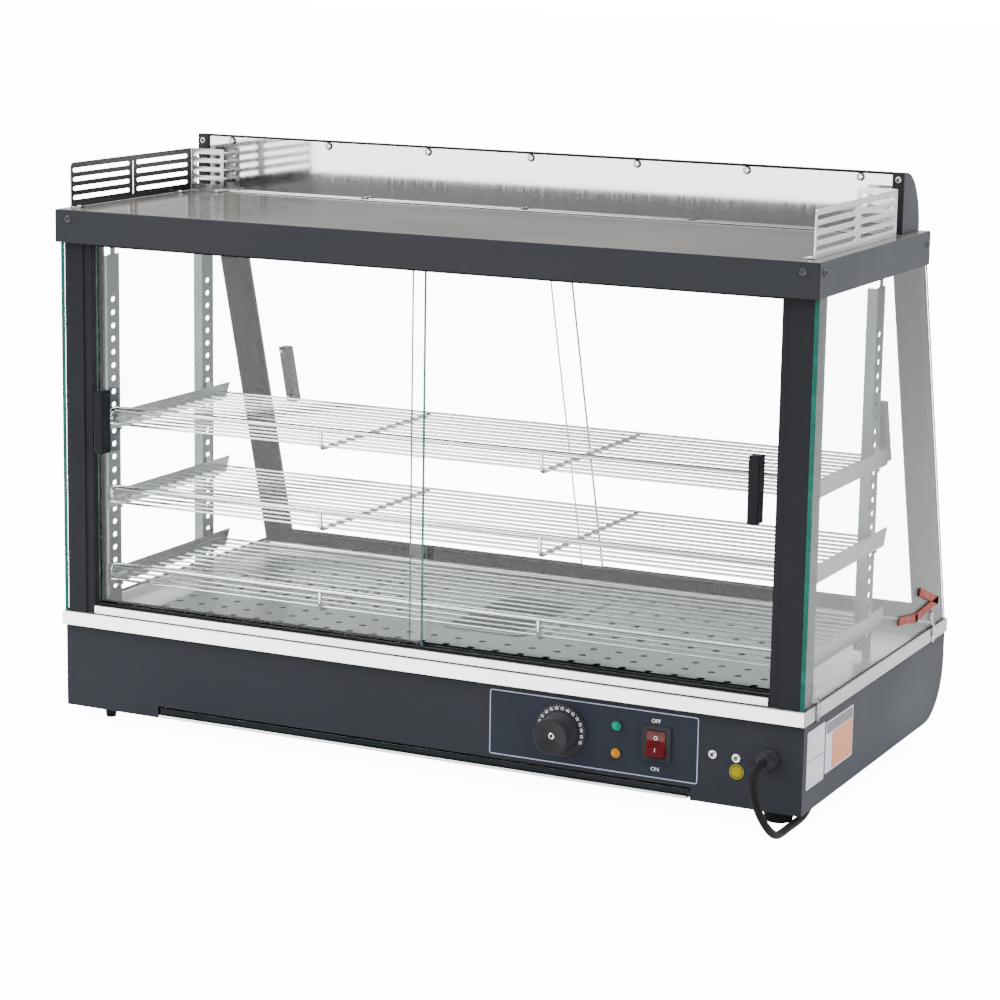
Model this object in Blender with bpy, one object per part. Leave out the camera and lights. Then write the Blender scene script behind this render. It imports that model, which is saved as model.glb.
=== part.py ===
"""Heated display case for a counter: black base, glass cabinet, three wire shelves, sliding doors.

Metres, +Z up. X runs along the case, +Y away from the operator, who stands at -Y.
The origin is on the counter, under the middle of the case.
"""
import math

import bmesh
import bpy
from mathutils import Vector

for item in list(bpy.data.objects):
    bpy.data.objects.remove(item)

# Overall sizes
case_width = 0.900
trim_depth = 0.474
trim_height = 0.0153
base_height = 0.096
cabinet_height = 0.4222
top_height = 0.0367
customer_lean = 0.123
top_depth = trim_depth - customer_lean
top_overhang = 0.0045
header_height = 0.066
foot_height = 0.018

# Sheets, glass and gaps
panel_sheet = 0.0012
steel_sheet = 0.001
glass_sheet = 0.005
touch_gap = 0.0003
overrun = 0.002

# Base casing
base_side_inset = 0.0022
base_front_setback = 0.0051
knob_allowance = 0.0197
base_rear_setback = 0.002
base_curve_radius = 0.062
base_curve_steps = 8
bottom_flange = 0.020
notch_inset = 0.125
notch_width = case_width - 2 * notch_inset
notch_height = 0.0135

# Trim deck
skirt_sheet = 0.0015
deck_drop = 0.0073
ledge_front = 0.0375
ledge_rear = 0.026
ledge_side = 0.012
floor_side_inset = 0.069
floor_width = case_width - 2 * floor_side_inset
floor_setback = 0.0515
floor_rear_inset = 0.0585
floor_depth = trim_depth - floor_setback - floor_rear_inset
floor_seat = 0.016
floor_sheet = 0.0012

# Water pan
pan_width = 0.108
pan_length = 0.176
pan_off_centre = 0.024
pan_setback = floor_setback + (floor_depth - pan_length) / 2 + pan_off_centre
pan_rim = 0.006
pan_depth = 0.045
pan_corner = 0.014
pan_corner_steps = 3

# Heat chamber below the deck
shield_margin = 0.008
shield_clearance = 0.020
element_radius = 0.004
element_rise = 0.022
element_inner_x = 0.130
element_side_inset = 0.140
element_outer_x = case_width / 2 - element_side_inset
element_rear_inset = 0.034
element_end = floor_depth - element_rear_inset
element_stub = 0.012
element_turn_steps = 10
element_sides = 8

# Crumb tray
tray_play = 0.0025
tray_height = 0.0095
tray_rear_inset = 0.084
tray_depth = trim_depth - tray_rear_inset
tray_lip = 0.003
tray_sheet = 0.001

# Controls on the base's front
control_rise = 0.055
knob_inset = 0.2725
knob_x = case_width / 2 - knob_inset
knob_skirt_radius = 0.0290
knob_skirt_depth = 0.004
knob_neck_radius = 0.0205
knob_grip_radius = 0.0200
knob_grip_depth = 0.0262
knob_dish_radius = 0.0085
knob_dish_depth = 0.003
knob_sides = 32
knob_shaft_radius = 0.003
shaft_clearance = 0.0003
thermostat_width = 0.046
thermostat_depth = 0.030
thermostat_height = 0.044
shaft_bore_depth = 0.014
probe_wire_radius = 0.0013
probe_bulb_radius = 0.003
probe_bulb_length = 0.080
probe_sides = 8
lamp_inset = 0.2093
lamp_x = case_width / 2 - lamp_inset
lamp_upper_rise = 0.0688
lamp_lower_rise = 0.0391
lamp_lens_radius = 0.0052
lamp_ring_radius = 0.0066
lamp_body_radius = 0.0048
lamp_lens_depth = 0.0045
lamp_ring_depth = 0.0015
lamp_body_depth = 0.022
lamp_sides = 16
switch_inset = 0.1633
switch_x = case_width / 2 - switch_inset
switch_rise = 0.0555
bezel_width = 0.0320
bezel_height = 0.0370
bezel_depth = 0.0025
switch_body_width = 0.0270
switch_body_height = 0.0315
switch_body_depth = 0.024
rocker_width = 0.0205
rocker_half = 0.0135
rocker_dip = 0.0024
rocker_face = 0.0050
rocker_back = 0.0040
rocker_pin_radius = 0.0015
rocker_pin_reach = 0.0012
rocker_pivot_depth = 0.0015
rocker_play = 0.0004
rocker_tilt = math.radians(11)
terminal_inset = 0.0940
terminal_x = case_width / 2 - terminal_inset
terminal_width = 0.042
terminal_depth = 0.018
terminal_height = 0.020

# Cable gland and cord
gland_inset = 0.0390
gland_x = case_width / 2 - gland_inset
gland_rise = 0.0565
gland_nut_radius = 0.0120
gland_nut_depth = 0.0095
gland_dome_radius = 0.0085
gland_dome_depth = 0.003
gland_sleeve_radius = 0.0058
gland_sleeve_length = 0.005
gland_thread_radius = 0.0075
gland_thread_length = 0.014
gland_sides = 16
cord_radius = 0.00425
cord_step = 0.019
cord_sides = 8
coil_outer_radius = 0.0580
coil_pitch = 0.0091
coil_rise = 0.0091
coil_turns = 3.25
coil_points_per_turn = 24
coil_lead = 0.015
plug_length = 0.038
plug_width = 0.026
plug_height = 0.020
plug_tail_length = 0.020
plug_tail_radius = 0.0060
blade_length = 0.018
blade_width = 0.0065
blade_thickness = 0.0016
blade_spacing = 0.0127
earth_pin_radius = 0.0024
earth_pin_drop = 0.0060

# Feet
pad_foot_radius = 0.0165
stud_foot_radius = 0.0068
foot_taper_share = 0.86
foot_inset_x = 0.039
foot_front_setback = 0.0405
foot_rear_inset = 0.094
foot_rear_setback = trim_depth - foot_rear_inset
foot_sides = 20

# Top cover and ceiling
ceiling_rise = 0.0118
ceiling_flange = 0.010
ceiling_play = 0.0004

# Front posts
post_outer_inset = 0.0073
post_face_width = 0.0240
post_strip_width = 0.0102
post_depth = 0.030
post_setback = 0.0035
post_strip_step = 0.002
side_glass_inset = 0.002

# Slanted rear posts and their doors
slant_foot_inset = 0.004
slant_head_inset = 0.002
slant_foot_setback = trim_depth - slant_foot_inset
slant_head_setback = top_depth - top_overhang - slant_head_inset
rear_post_width = 0.0307
rear_post_inner_x = case_width / 2 - post_outer_inset - rear_post_width
rear_post_depth = 0.021
rear_track_height = 0.0152
rear_track_floor = 0.0085

# Sill and tracks
sill_depth = 0.032
sill_height = 0.0095
sill_wall = 0.0037
sill_floor = 0.0035
track_stand = 0.0027
track_floor = 0.0025
track_hang = 0.0035
groove_play = 0.0004
front_groove_setback = 0.013
rear_groove_setback = 0.023
outer_door_setback = 0.0032
inner_door_setback = 0.0126
door_lift_play = 0.007

# Doors and handles
operator_left_reach = 0.0045
operator_right_reach = 0.0150
customer_left_reach = 0.0215
customer_right_reach = 0.0020
handle_width = 0.012
handle_depth = 0.0175
handle_height = 0.071
handle_corner = 0.0015
operator_handle_left_inset = 0.0547
operator_handle_right_inset = 0.0665
operator_handle_rise = 0.1870
customer_handle_inset = 0.0655
customer_handle_rise = 0.1890

# Slotted shelf standards
standard_left_inset = 0.0200
standard_right_inset = 0.0375
standard_left_x = standard_left_inset - case_width / 2
standard_right_x = case_width / 2 - standard_right_inset
standard_flange = 0.0106
standard_leg = 0.0255
standard_sheet = 0.0012
standard_front_setback = 0.0685
standard_rear_inset = 0.0775
standard_rear_setback = top_depth - standard_rear_inset
standard_flange_drop = 0.0317
slot_first_drop = 0.0720
slot_pitch = 0.0152
slot_count = 23
slot_width = 0.0120
slot_height = 0.0060
seat_tab_reach = 0.0060
seat_tab_depth = 0.0090
seat_tab_sheet = 0.0020

# Wire shelves
shelf_count = 3
shelf_first_rise = 0.0253
shelf_slots_apart = 6
arm_sheet = 0.0015
arm_height = 0.0200
arm_setback = 0.0625
arm_rear_inset = 0.0160
arm_length = top_depth - arm_setback - arm_rear_inset
hanger_height = 0.0270
hanger_depth = 0.0120
rear_hanger_step = 0.006
rear_hanger_setback = standard_rear_setback + rear_hanger_step
wire_radius = 0.0015
wire_count = 14
wire_rise = 0.0090
wire_margin = 0.0045
wire_sides = 6
cross_bar_radius = 0.0023
cross_bar_left = -0.1480
cross_bar_right = 0.1210
bar_sink = 0.0006
shelf_rail_radius = 0.0029
shelf_rail_setback = 0.0635
shelf_rail_rise = 0.0275
shelf_rail_sides = 8
bend_radius = 0.0080
bend_steps = 3
rail_tail = 0.0230
rail_end_inset = 0.0060
rail_end_inset_right = 0.0190

# Gallery rails on the top cover
rail_left_inset = 0.0065
rail_right_inset = 0.0140
rail_left_x = case_width / 2 - rail_left_inset
rail_right_x = case_width / 2 - rail_right_inset
rail_height = 0.0496
rail_setback = 0.0175
rail_rear_inset = 0.0795
rail_length = top_depth - rail_setback - rail_rear_inset
rail_return = 0.0460
rail_slot_height = 0.0048
rail_slot_pitch = 0.0102
rail_slot_first_drop = 0.0064
rail_slot_rows = 4
rail_slot_margin = 0.0045
rail_slot_bridge = 0.0155
rail_slot_chamfer = 0.0014
rail_tab_reach = 0.0130
rail_tab_width = 0.0130
rail_tab_back = 0.0420

# Header on the customer side of the top cover
header_front_inset = 0.0650
header_rear_inset = 0.0065
header_front_setback = top_depth - header_front_inset
header_rear_setback = top_depth - header_rear_inset
header_flat = 0.008
header_side_inset = 0.0105
header_shift = 0.0025
header_cap_width = 0.0135
header_sheet = 0.0012
header_steps = 10
splash_setback = 0.0030
splash_flange = 0.0140
splash_top_drop = 0.001

# Levels and places that follow from the sizes above
base_bottom = foot_height
trim_bottom = base_bottom + base_height
ledge_top = trim_bottom + trim_height
deck_top = ledge_top - deck_drop
cover_bottom = ledge_top + cabinet_height
cover_top = cover_bottom + top_height
header_top = cover_top + header_height
ceiling = cover_bottom + ceiling_rise
floor_bottom = deck_top + touch_gap
floor_top = floor_bottom + floor_sheet
half_width = case_width / 2
base_half = half_width - base_side_inset
trim_front = -(trim_depth - knob_allowance) / 2
panel_top = ledge_top - steel_sheet - touch_gap
slant_slope = (slant_foot_setback - slant_head_setback) / cabinet_height


def behind(distance):
    """Y of a place that lies this far behind the trim's front edge."""
    return trim_front + distance


def slanted(setback, z):
    """Y on the slanted customer side, set back towards the operator at one height."""
    return behind(slant_foot_setback - setback - slant_slope * (z - ledge_top))


base_front = behind(base_front_setback)
base_rear = behind(trim_depth - base_rear_setback)


def make_material(name, colour, roughness, metallic=0.0, transmission=0.0):
    """Principled material with one plain finish."""
    material = bpy.data.materials.new(name)
    material.use_nodes = True
    shader = material.node_tree.nodes["Principled BSDF"]
    shader.inputs["Base Color"].default_value = (*colour, 1.0)
    shader.inputs["Roughness"].default_value = roughness
    shader.inputs["Metallic"].default_value = metallic
    shader.inputs["Transmission Weight"].default_value = transmission
    material.diffuse_color = (*colour, 1.0)
    return material


black_paint = make_material("black_paint", (0.030, 0.032, 0.038), 0.45)
stainless = make_material("stainless", (0.72, 0.70, 0.67), 0.28, 1.0)
chrome = make_material("chrome", (0.82, 0.83, 0.84), 0.12, 1.0)
aluminium = make_material("aluminium", (0.60, 0.62, 0.64), 0.35, 1.0)
black_plastic = make_material("black_plastic", (0.018, 0.018, 0.020), 0.40)
clear_glass = make_material("clear_glass", (0.86, 0.93, 0.91), 0.03, 0.0, 0.95)
red_plastic = make_material("red_plastic", (0.45, 0.02, 0.02), 0.25)
green_plastic = make_material("green_plastic", (0.02, 0.42, 0.22), 0.25)
amber_plastic = make_material("amber_plastic", (0.80, 0.33, 0.02), 0.25)
white_ceramic = make_material("white_ceramic", (0.78, 0.76, 0.70), 0.60)
black_rubber = make_material("black_rubber", (0.015, 0.015, 0.016), 0.75)


def mesh_from(shape, name):
    """Turn a bmesh into a mesh with its faces pointing out."""
    bmesh.ops.recalc_face_normals(shape, faces=shape.faces)
    mesh = bpy.data.meshes.new(name)
    shape.to_mesh(mesh)
    shape.free()
    return mesh


def prism(outline, axis, low, high, name="prism"):
    """Closed prism: the outline's two coordinates are the other two axes, in X, Y, Z order."""
    shape = bmesh.new()
    ends = []
    for level in (low, high):
        ring = []
        for first, second in outline:
            place = {"X": (level, first, second), "Y": (first, level, second), "Z": (first, second, level)}[axis]
            ring.append(shape.verts.new(place))
        ends.append(ring)
    shape.faces.new(ends[0])
    shape.faces.new(ends[1])
    for index in range(len(outline)):
        after = (index + 1) % len(outline)
        shape.faces.new((ends[0][index], ends[0][after], ends[1][after], ends[1][index]))
    return mesh_from(shape, name)


def block(low, high):
    """Box between two corners."""
    outline = [(low[0], low[1]), (high[0], low[1]), (high[0], high[1]), (low[0], high[1])]
    return prism(outline, "Z", low[2], high[2], "block")


def slanted_block(low_x, high_x, near, far, bottom, top):
    """Box sheared to the customer side's slant, between two setbacks and two heights."""
    outline = [(slanted(near, bottom), bottom), (slanted(far, bottom), bottom),
               (slanted(far, top), top), (slanted(near, top), top)]
    return prism(outline, "X", low_x, high_x, "slanted_block")


def turned(profile, sides, name="turned"):
    """Round piece about its own Y axis, from (radius, y) pairs; a zero radius closes an end."""
    shape = bmesh.new()
    rings = []
    for radius, y in profile:
        if radius == 0:
            rings.append([shape.verts.new((0, y, 0))])
            continue
        ring = []
        for side in range(sides):
            angle = math.tau * side / sides
            ring.append(shape.verts.new((radius * math.cos(angle), y, radius * math.sin(angle))))
        rings.append(ring)
    for near, far in zip(rings, rings[1:]):
        for side in range(sides):
            after = (side + 1) % sides
            corners = [near[side % len(near)], near[after % len(near)], far[after % len(far)], far[side % len(far)]]
            unique = list(dict.fromkeys(corners))
            shape.faces.new(unique)
    return mesh_from(shape, name)


def moved(mesh, offset):
    """Shift a mesh in place and return it."""
    for vertex in mesh.vertices:
        vertex.co = vertex.co + Vector(offset)
    return mesh


def joined(meshes):
    """One mesh that holds several separate shells."""
    shape = bmesh.new()
    for mesh in meshes:
        shape.from_mesh(mesh)
    return mesh_from(shape, "joined")


def tube(points, radius, sides, radii=None):
    """Closed tube along a path, made by a bevelled curve; radii can vary it point by point."""
    curve = bpy.data.curves.new("tube", "CURVE")
    curve.dimensions = "3D"
    curve.bevel_depth = radius
    curve.bevel_resolution = (sides - 4) // 2
    curve.use_fill_caps = True
    spline = curve.splines.new("POLY")
    spline.points.add(len(points) - 1)
    for index, place in enumerate(points):
        spline.points[index].co = (*place, 1.0)
        if radii:
            spline.points[index].radius = radii[index] / radius
    return curve


def tube_mesh(points, radius, sides, radii=None):
    """The same tube as a mesh, for joining to another piece."""
    holder = bpy.data.objects.new("work_tube", tube(points, radius, sides, radii))
    bpy.context.collection.objects.link(holder)
    depsgraph = bpy.context.evaluated_depsgraph_get()
    raw = bpy.data.meshes.new_from_object(holder.evaluated_get(depsgraph))
    bpy.data.objects.remove(holder)
    shape = bmesh.new()
    shape.from_mesh(raw)
    bmesh.ops.remove_doubles(shape, verts=shape.verts, dist=touch_gap / 10)
    return mesh_from(shape, "tube")


def combine(first, second, operation):
    """The first mesh cut by, or united with, the second, as a new mesh."""
    body = bpy.data.objects.new("work_body", first)
    tool = bpy.data.objects.new("work_tool", second)
    for item in (body, tool):
        bpy.context.collection.objects.link(item)
    change = body.modifiers.new("change", "BOOLEAN")
    change.operation = operation
    change.solver = "EXACT"
    change.object = tool
    depsgraph = bpy.context.evaluated_depsgraph_get()
    result = bpy.data.meshes.new_from_object(body.evaluated_get(depsgraph))
    for item in (body, tool):
        bpy.data.objects.remove(item)
    return result


def cut(mesh, tools):
    """Mesh with separate tools cut out of it."""
    return combine(mesh, joined(tools), "DIFFERENCE")


def united(mesh, others):
    """Mesh with other shells, clear of each other, fused to it."""
    return combine(mesh, joined(others), "UNION")


def add_piece(name, data, material, origin=(0, 0, 0)):
    """Object with its own finish; its origin goes where its joint's axis is."""
    if isinstance(data, bpy.types.Mesh):
        moved(data, [-value for value in origin])
        data.materials.clear()
        data.shade_smooth()
        data.set_sharp_from_angle(angle=math.radians(35))
    data.materials.append(material)
    data.name = name
    piece = bpy.data.objects.new(name, data)
    piece.location = origin
    bpy.context.collection.objects.link(piece)
    return piece


def rounded_outline(low, high, radius, steps):
    """Rectangle with round corners, as a list of points."""
    centres = [(high[0] - radius, high[1] - radius, 0), (low[0] + radius, high[1] - radius, 1),
               (low[0] + radius, low[1] + radius, 2), (high[0] - radius, low[1] + radius, 3)]
    points = []
    for x, y, quarter in centres:
        for step in range(steps + 1):
            angle = (quarter + step / steps) * math.pi / 2
            points.append((x + radius * math.cos(angle), y + radius * math.sin(angle)))
    return points


def laid_along_x(mesh):
    """Turn a round piece made about Y so that it lies along X."""
    for vertex in mesh.vertices:
        vertex.co = (vertex.co.y, vertex.co.x, vertex.co.z)
    mesh.flip_normals()
    return mesh


def rod_along_x(middle, half, y, z, radius, sides=lamp_sides):
    """Round rod or hole tool parallel to X."""
    mesh = turned([(0, -half), (radius, -half), (radius, half), (0, half)], sides, "rod")
    return moved(laid_along_x(mesh), (middle, y, z))


def rod_along_y(x, z, radius, low, high, sides):
    """Round rod or hole tool parallel to Y."""
    mesh = turned([(0, low), (radius, low), (radius, high), (0, high)], sides, "rod")
    return moved(mesh, (x, 0, z))


# Base casing
control_z = base_bottom + control_rise
lamp_upper_z = base_bottom + lamp_upper_rise
lamp_lower_z = base_bottom + lamp_lower_rise
switch_z = base_bottom + switch_rise
gland_z = base_bottom + gland_rise
panel_back = base_front + panel_sheet
panel_half = base_half - panel_sheet - touch_gap


def add_base_front_panel():
    """Front sheet with the tray's notch and the holes for the controls."""
    sheet = block((-panel_half, base_front, base_bottom), (panel_half, panel_back, panel_top))
    reach = (base_front - overrun, panel_back + overrun)
    notch = block((-notch_width / 2, reach[0], base_bottom - overrun),
                  (notch_width / 2, reach[1], base_bottom + notch_height))
    shaft = rod_along_y(knob_x, control_z, knob_shaft_radius + shaft_clearance, *reach, lamp_sides)
    upper = rod_along_y(lamp_x, lamp_upper_z, lamp_body_radius + touch_gap, *reach, lamp_sides)
    lower = rod_along_y(lamp_x, lamp_lower_z, lamp_body_radius + touch_gap, *reach, lamp_sides)
    gland = rod_along_y(gland_x, gland_z, gland_thread_radius + touch_gap, *reach, gland_sides)
    half_w = switch_body_width / 2 + touch_gap
    half_h = switch_body_height / 2 + touch_gap
    switch = block((switch_x - half_w, reach[0], switch_z - half_h), (switch_x + half_w, reach[1], switch_z + half_h))
    add_piece("base_front_panel", cut(sheet, [notch, shaft, upper, lower, gland, switch]), black_paint)


def base_curve(radius):
    """Arc at the foot of the customer side, from the vertical down to the flat bottom."""
    centre_y = base_rear - base_curve_radius
    centre_z = base_bottom + base_curve_radius
    points = []
    for step in range(base_curve_steps + 1):
        angle = -math.pi / 2 * step / base_curve_steps
        points.append((centre_y + radius * math.cos(angle), centre_z + radius * math.sin(angle)))
    return points


def add_base_casing():
    """Two flat sides, the curved customer side and the bottom plate."""
    side = [(base_front, base_bottom), (base_front, panel_top), (base_rear, panel_top), *base_curve(base_curve_radius)]
    for name, sign in (("base_side_left", -1), ("base_side_right", 1)):
        edges = sorted((sign * base_half, sign * (base_half - panel_sheet)))
        add_piece(name, prism(side, "X", *edges), black_paint)
    curve_end = base_rear - base_curve_radius
    inner = base_curve(base_curve_radius - panel_sheet)
    flange_end = curve_end - bottom_flange
    outline = [(base_rear, panel_top), *base_curve(base_curve_radius), (flange_end, base_bottom),
               (flange_end, base_bottom + panel_sheet), *reversed(inner), (base_rear - panel_sheet, panel_top)]
    add_piece("base_rear_panel", prism(outline, "X", -panel_half, panel_half), black_paint)
    bottom = block((-panel_half, panel_back + touch_gap, base_bottom),
                   (panel_half, flange_end - touch_gap, base_bottom + panel_sheet))
    add_piece("base_bottom_plate", bottom, black_paint)


def add_feet():
    """Rubber feet: wide pads under the right end, narrow studs under the left."""
    for end, sign, radius in (("left", -1, stud_foot_radius), ("right", 1, pad_foot_radius)):
        for row, setback in (("front", foot_front_setback), ("rear", foot_rear_setback)):
            small = radius * foot_taper_share
            profile = [(0, 0), (small, 0), (radius, foot_height / 2), (radius, foot_height - touch_gap),
                       (0, foot_height - touch_gap)]
            foot = turned(profile, foot_sides)
            for vertex in foot.vertices:
                vertex.co = (vertex.co.x, vertex.co.z, vertex.co.y)
            foot.flip_normals()
            moved(foot, (sign * (half_width - foot_inset_x), behind(setback), 0))
            add_piece(f"foot_{row}_{end}", foot, black_rubber)


# Trim deck, floor plate and pan
floor_front = behind(floor_setback)
floor_rear = floor_front + floor_depth
floor_half = floor_width / 2
pan_front = behind(pan_setback)
pan_rear = pan_front + pan_length
shield_half = floor_half - floor_seat + shield_margin
shield_front = floor_front + floor_seat - shield_margin
shield_rear = floor_rear - floor_seat + shield_margin
shield_bottom = base_bottom + shield_clearance
shield_top = deck_top - steel_sheet - touch_gap


def add_deck_plate():
    """Stainless pressing: skirt outside, ledge round the top, and a lower deck with a heat opening."""
    rear = behind(trim_depth)
    body = block((-half_width, trim_front, trim_bottom), (half_width, rear, ledge_top))
    recess_half = half_width - ledge_side
    recess_front = behind(ledge_front)
    recess_rear = rear - ledge_rear
    recess = block((-recess_half, recess_front, deck_top), (recess_half, recess_rear, ledge_top + overrun))
    body = cut(body, [recess])
    inner_half = half_width - skirt_sheet
    below = block((-inner_half, trim_front + skirt_sheet, trim_bottom - overrun),
                  (inner_half, rear - skirt_sheet, deck_top - steel_sheet))
    body = cut(body, [below])
    under = block((-inner_half, trim_front + skirt_sheet, deck_top - steel_sheet - overrun),
                  (inner_half, rear - skirt_sheet, ledge_top - steel_sheet))
    wall = block((-recess_half - steel_sheet, recess_front - steel_sheet, deck_top - steel_sheet - 2 * overrun),
                 (recess_half + steel_sheet, recess_rear + steel_sheet, ledge_top))
    body = cut(body, [cut(under, [wall])])
    opening_half = floor_half - floor_seat
    opening = block((-opening_half, floor_front + floor_seat, deck_top - steel_sheet - overrun),
                    (opening_half, floor_rear - floor_seat, deck_top + overrun))
    add_piece("deck_plate", cut(body, [opening]), stainless)


def add_perforated_floor():
    """Loose floor plate over the heat opening, with the cut-out that the water pan hangs in."""
    plate = block((-floor_half, floor_front, floor_bottom), (floor_half, floor_rear, floor_top))
    inset = pan_rim - touch_gap
    low = (-pan_width / 2 + inset, pan_front + inset)
    high = (pan_width / 2 - inset, pan_rear - inset)
    hole = prism(rounded_outline(low, high, pan_corner, pan_corner_steps), "Z", floor_bottom - overrun,
                 floor_top + overrun)
    add_piece("perforated_floor", cut(plate, [hole]), stainless, (0, (floor_front + floor_rear) / 2, floor_bottom))


def add_water_pan():
    """Pressed pan with a flat rim that rests on the floor plate."""
    rim_low = floor_top + touch_gap
    rim_high = rim_low + steel_sheet
    half = pan_width / 2
    rim = prism(rounded_outline((-half, pan_front), (half, pan_rear), pan_corner, pan_corner_steps), "Z",
                rim_low, rim_high)
    inset = pan_rim + touch_gap
    low = (-half + inset, pan_front + inset)
    high = (half - inset, pan_rear - inset)
    body = prism(rounded_outline(low, high, pan_corner, pan_corner_steps), "Z", rim_high - pan_depth,
                 rim_high - steel_sheet / 2)
    wall = inset + steel_sheet
    low = (-half + wall, pan_front + wall)
    high = (half - wall, pan_rear - wall)
    inner = prism(rounded_outline(low, high, pan_corner - steel_sheet, pan_corner_steps), "Z",
                  rim_high - pan_depth + steel_sheet, rim_high + overrun)
    add_piece("water_pan", cut(united(rim, [body]), [inner]), stainless, (0, (pan_front + pan_rear) / 2, rim_low))


def add_heat_shield():
    """Open tray that hangs under the deck and holds the heat off the base."""
    outer = block((-shield_half, shield_front, shield_bottom), (shield_half, shield_rear, shield_top))
    inner = block((-shield_half + steel_sheet, shield_front + steel_sheet, shield_bottom + steel_sheet),
                  (shield_half - steel_sheet, shield_rear - steel_sheet, shield_top + overrun))
    reach = (shield_front - overrun, shield_front + steel_sheet + overrun)
    level = shield_bottom + element_rise
    holes = []
    for x in (-element_outer_x, -element_inner_x, element_inner_x, element_outer_x):
        holes.append(rod_along_y(x, level, element_radius + touch_gap, *reach, element_sides * 2))
    holes.append(rod_along_y(knob_x, level, probe_bulb_radius + touch_gap, *reach, element_sides * 2))
    add_piece("heat_shield", cut(cut(outer, [inner]), holes), stainless)


def add_heating_elements():
    """Two hairpin tube elements, one each side of the water pan, ends through the shield's front."""
    level = shield_bottom + element_rise
    start = shield_front - element_stub
    turn = (element_outer_x - element_inner_x) / 2
    middle = (element_outer_x + element_inner_x) / 2
    turn_y = shield_front + element_end - turn
    for name, sign in (("heating_element_left", -1), ("heating_element_right", 1)):
        points = [(sign * element_inner_x, start, level), (sign * element_inner_x, turn_y, level)]
        for step in range(1, element_turn_steps):
            angle = math.pi * (1 - step / element_turn_steps)
            points.append((sign * (middle + turn * math.cos(angle)), turn_y + turn * math.sin(angle), level))
        points += [(sign * element_outer_x, turn_y, level), (sign * element_outer_x, start, level)]
        add_piece(name, tube(points, element_radius, element_sides), stainless)


def add_crumb_tray():
    """Shallow tray that slides out through the notch, with a turned-out lip to pull it by."""
    half = notch_width / 2 - tray_play
    low = base_bottom + panel_sheet + touch_gap
    front = base_front + panel_sheet
    outer = block((-half, front, low), (half, front + tray_depth, low + tray_height))
    inner = block((-half + tray_sheet, front + tray_sheet, low + tray_sheet),
                  (half - tray_sheet, front + tray_depth - tray_sheet, low + tray_height + overrun))
    lip = block((-half, base_front - tray_lip, low), (half, front + tray_sheet / 2, low + tray_sheet))
    add_piece("crumb_tray", united(cut(outer, [inner]), [lip]), stainless, (0, front, low))


# Controls
def add_thermostat():
    """Thermostat behind the panel, its sensing bulb in the heat chamber, and the skirted knob."""
    low_y = panel_back + touch_gap
    body = block((knob_x - thermostat_width / 2, low_y, control_z - thermostat_height / 2),
                 (knob_x + thermostat_width / 2, low_y + thermostat_depth, control_z + thermostat_height / 2))
    bore = rod_along_y(knob_x, control_z, knob_shaft_radius + shaft_clearance, low_y - overrun,
                       low_y + shaft_bore_depth, lamp_sides)
    add_piece("thermostat_body", cut(body, [bore]), aluminium)
    level = shield_bottom + element_rise
    start = low_y + thermostat_depth + touch_gap
    bulb_start = shield_front - element_stub
    bulb_end = bulb_start + probe_bulb_length
    wire, bulb = probe_wire_radius, probe_bulb_radius
    stops = [(start, wire), (bulb_start - bulb, wire), (bulb_start, bulb), (bulb_end, bulb)]
    points = [(knob_x, y, level) for y, _ in stops]
    add_piece("thermostat_probe", tube(points, bulb, probe_sides, [radius for _, radius in stops]), chrome)
    skirt_front = base_front - touch_gap - knob_skirt_depth
    face = skirt_front - knob_grip_depth
    shaft_end = low_y + shaft_bore_depth - touch_gap
    profile = [(0, face + knob_dish_depth), (knob_dish_radius, face + knob_dish_depth),
               (knob_dish_radius, face), (knob_grip_radius, face), (knob_neck_radius, skirt_front),
               (knob_skirt_radius, skirt_front + knob_skirt_depth / 2), (knob_skirt_radius, base_front - touch_gap),
               (knob_shaft_radius, base_front - touch_gap), (knob_shaft_radius, shaft_end), (0, shaft_end)]
    knob = moved(turned(profile, knob_sides), (knob_x, 0, control_z))
    add_piece("thermostat_knob", knob, black_plastic, (knob_x, base_front, control_z))


def add_lamps():
    """Two pilot lamps with a dark ring, pressed through the panel."""
    ring_front = base_front - touch_gap - lamp_ring_depth
    profile = [(0, ring_front - lamp_lens_depth), (lamp_lens_radius / 2, ring_front - lamp_lens_depth),
               (lamp_lens_radius, ring_front), (lamp_ring_radius, ring_front),
               (lamp_ring_radius, base_front - touch_gap), (lamp_body_radius, base_front - touch_gap),
               (lamp_body_radius, base_front + lamp_body_depth), (0, base_front + lamp_body_depth)]
    for name, level, material in (("power_lamp", lamp_upper_z, green_plastic), ("heat_lamp", lamp_lower_z, amber_plastic)):
        add_piece(name, moved(turned(profile, lamp_sides), (lamp_x, 0, level)), material)


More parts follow.
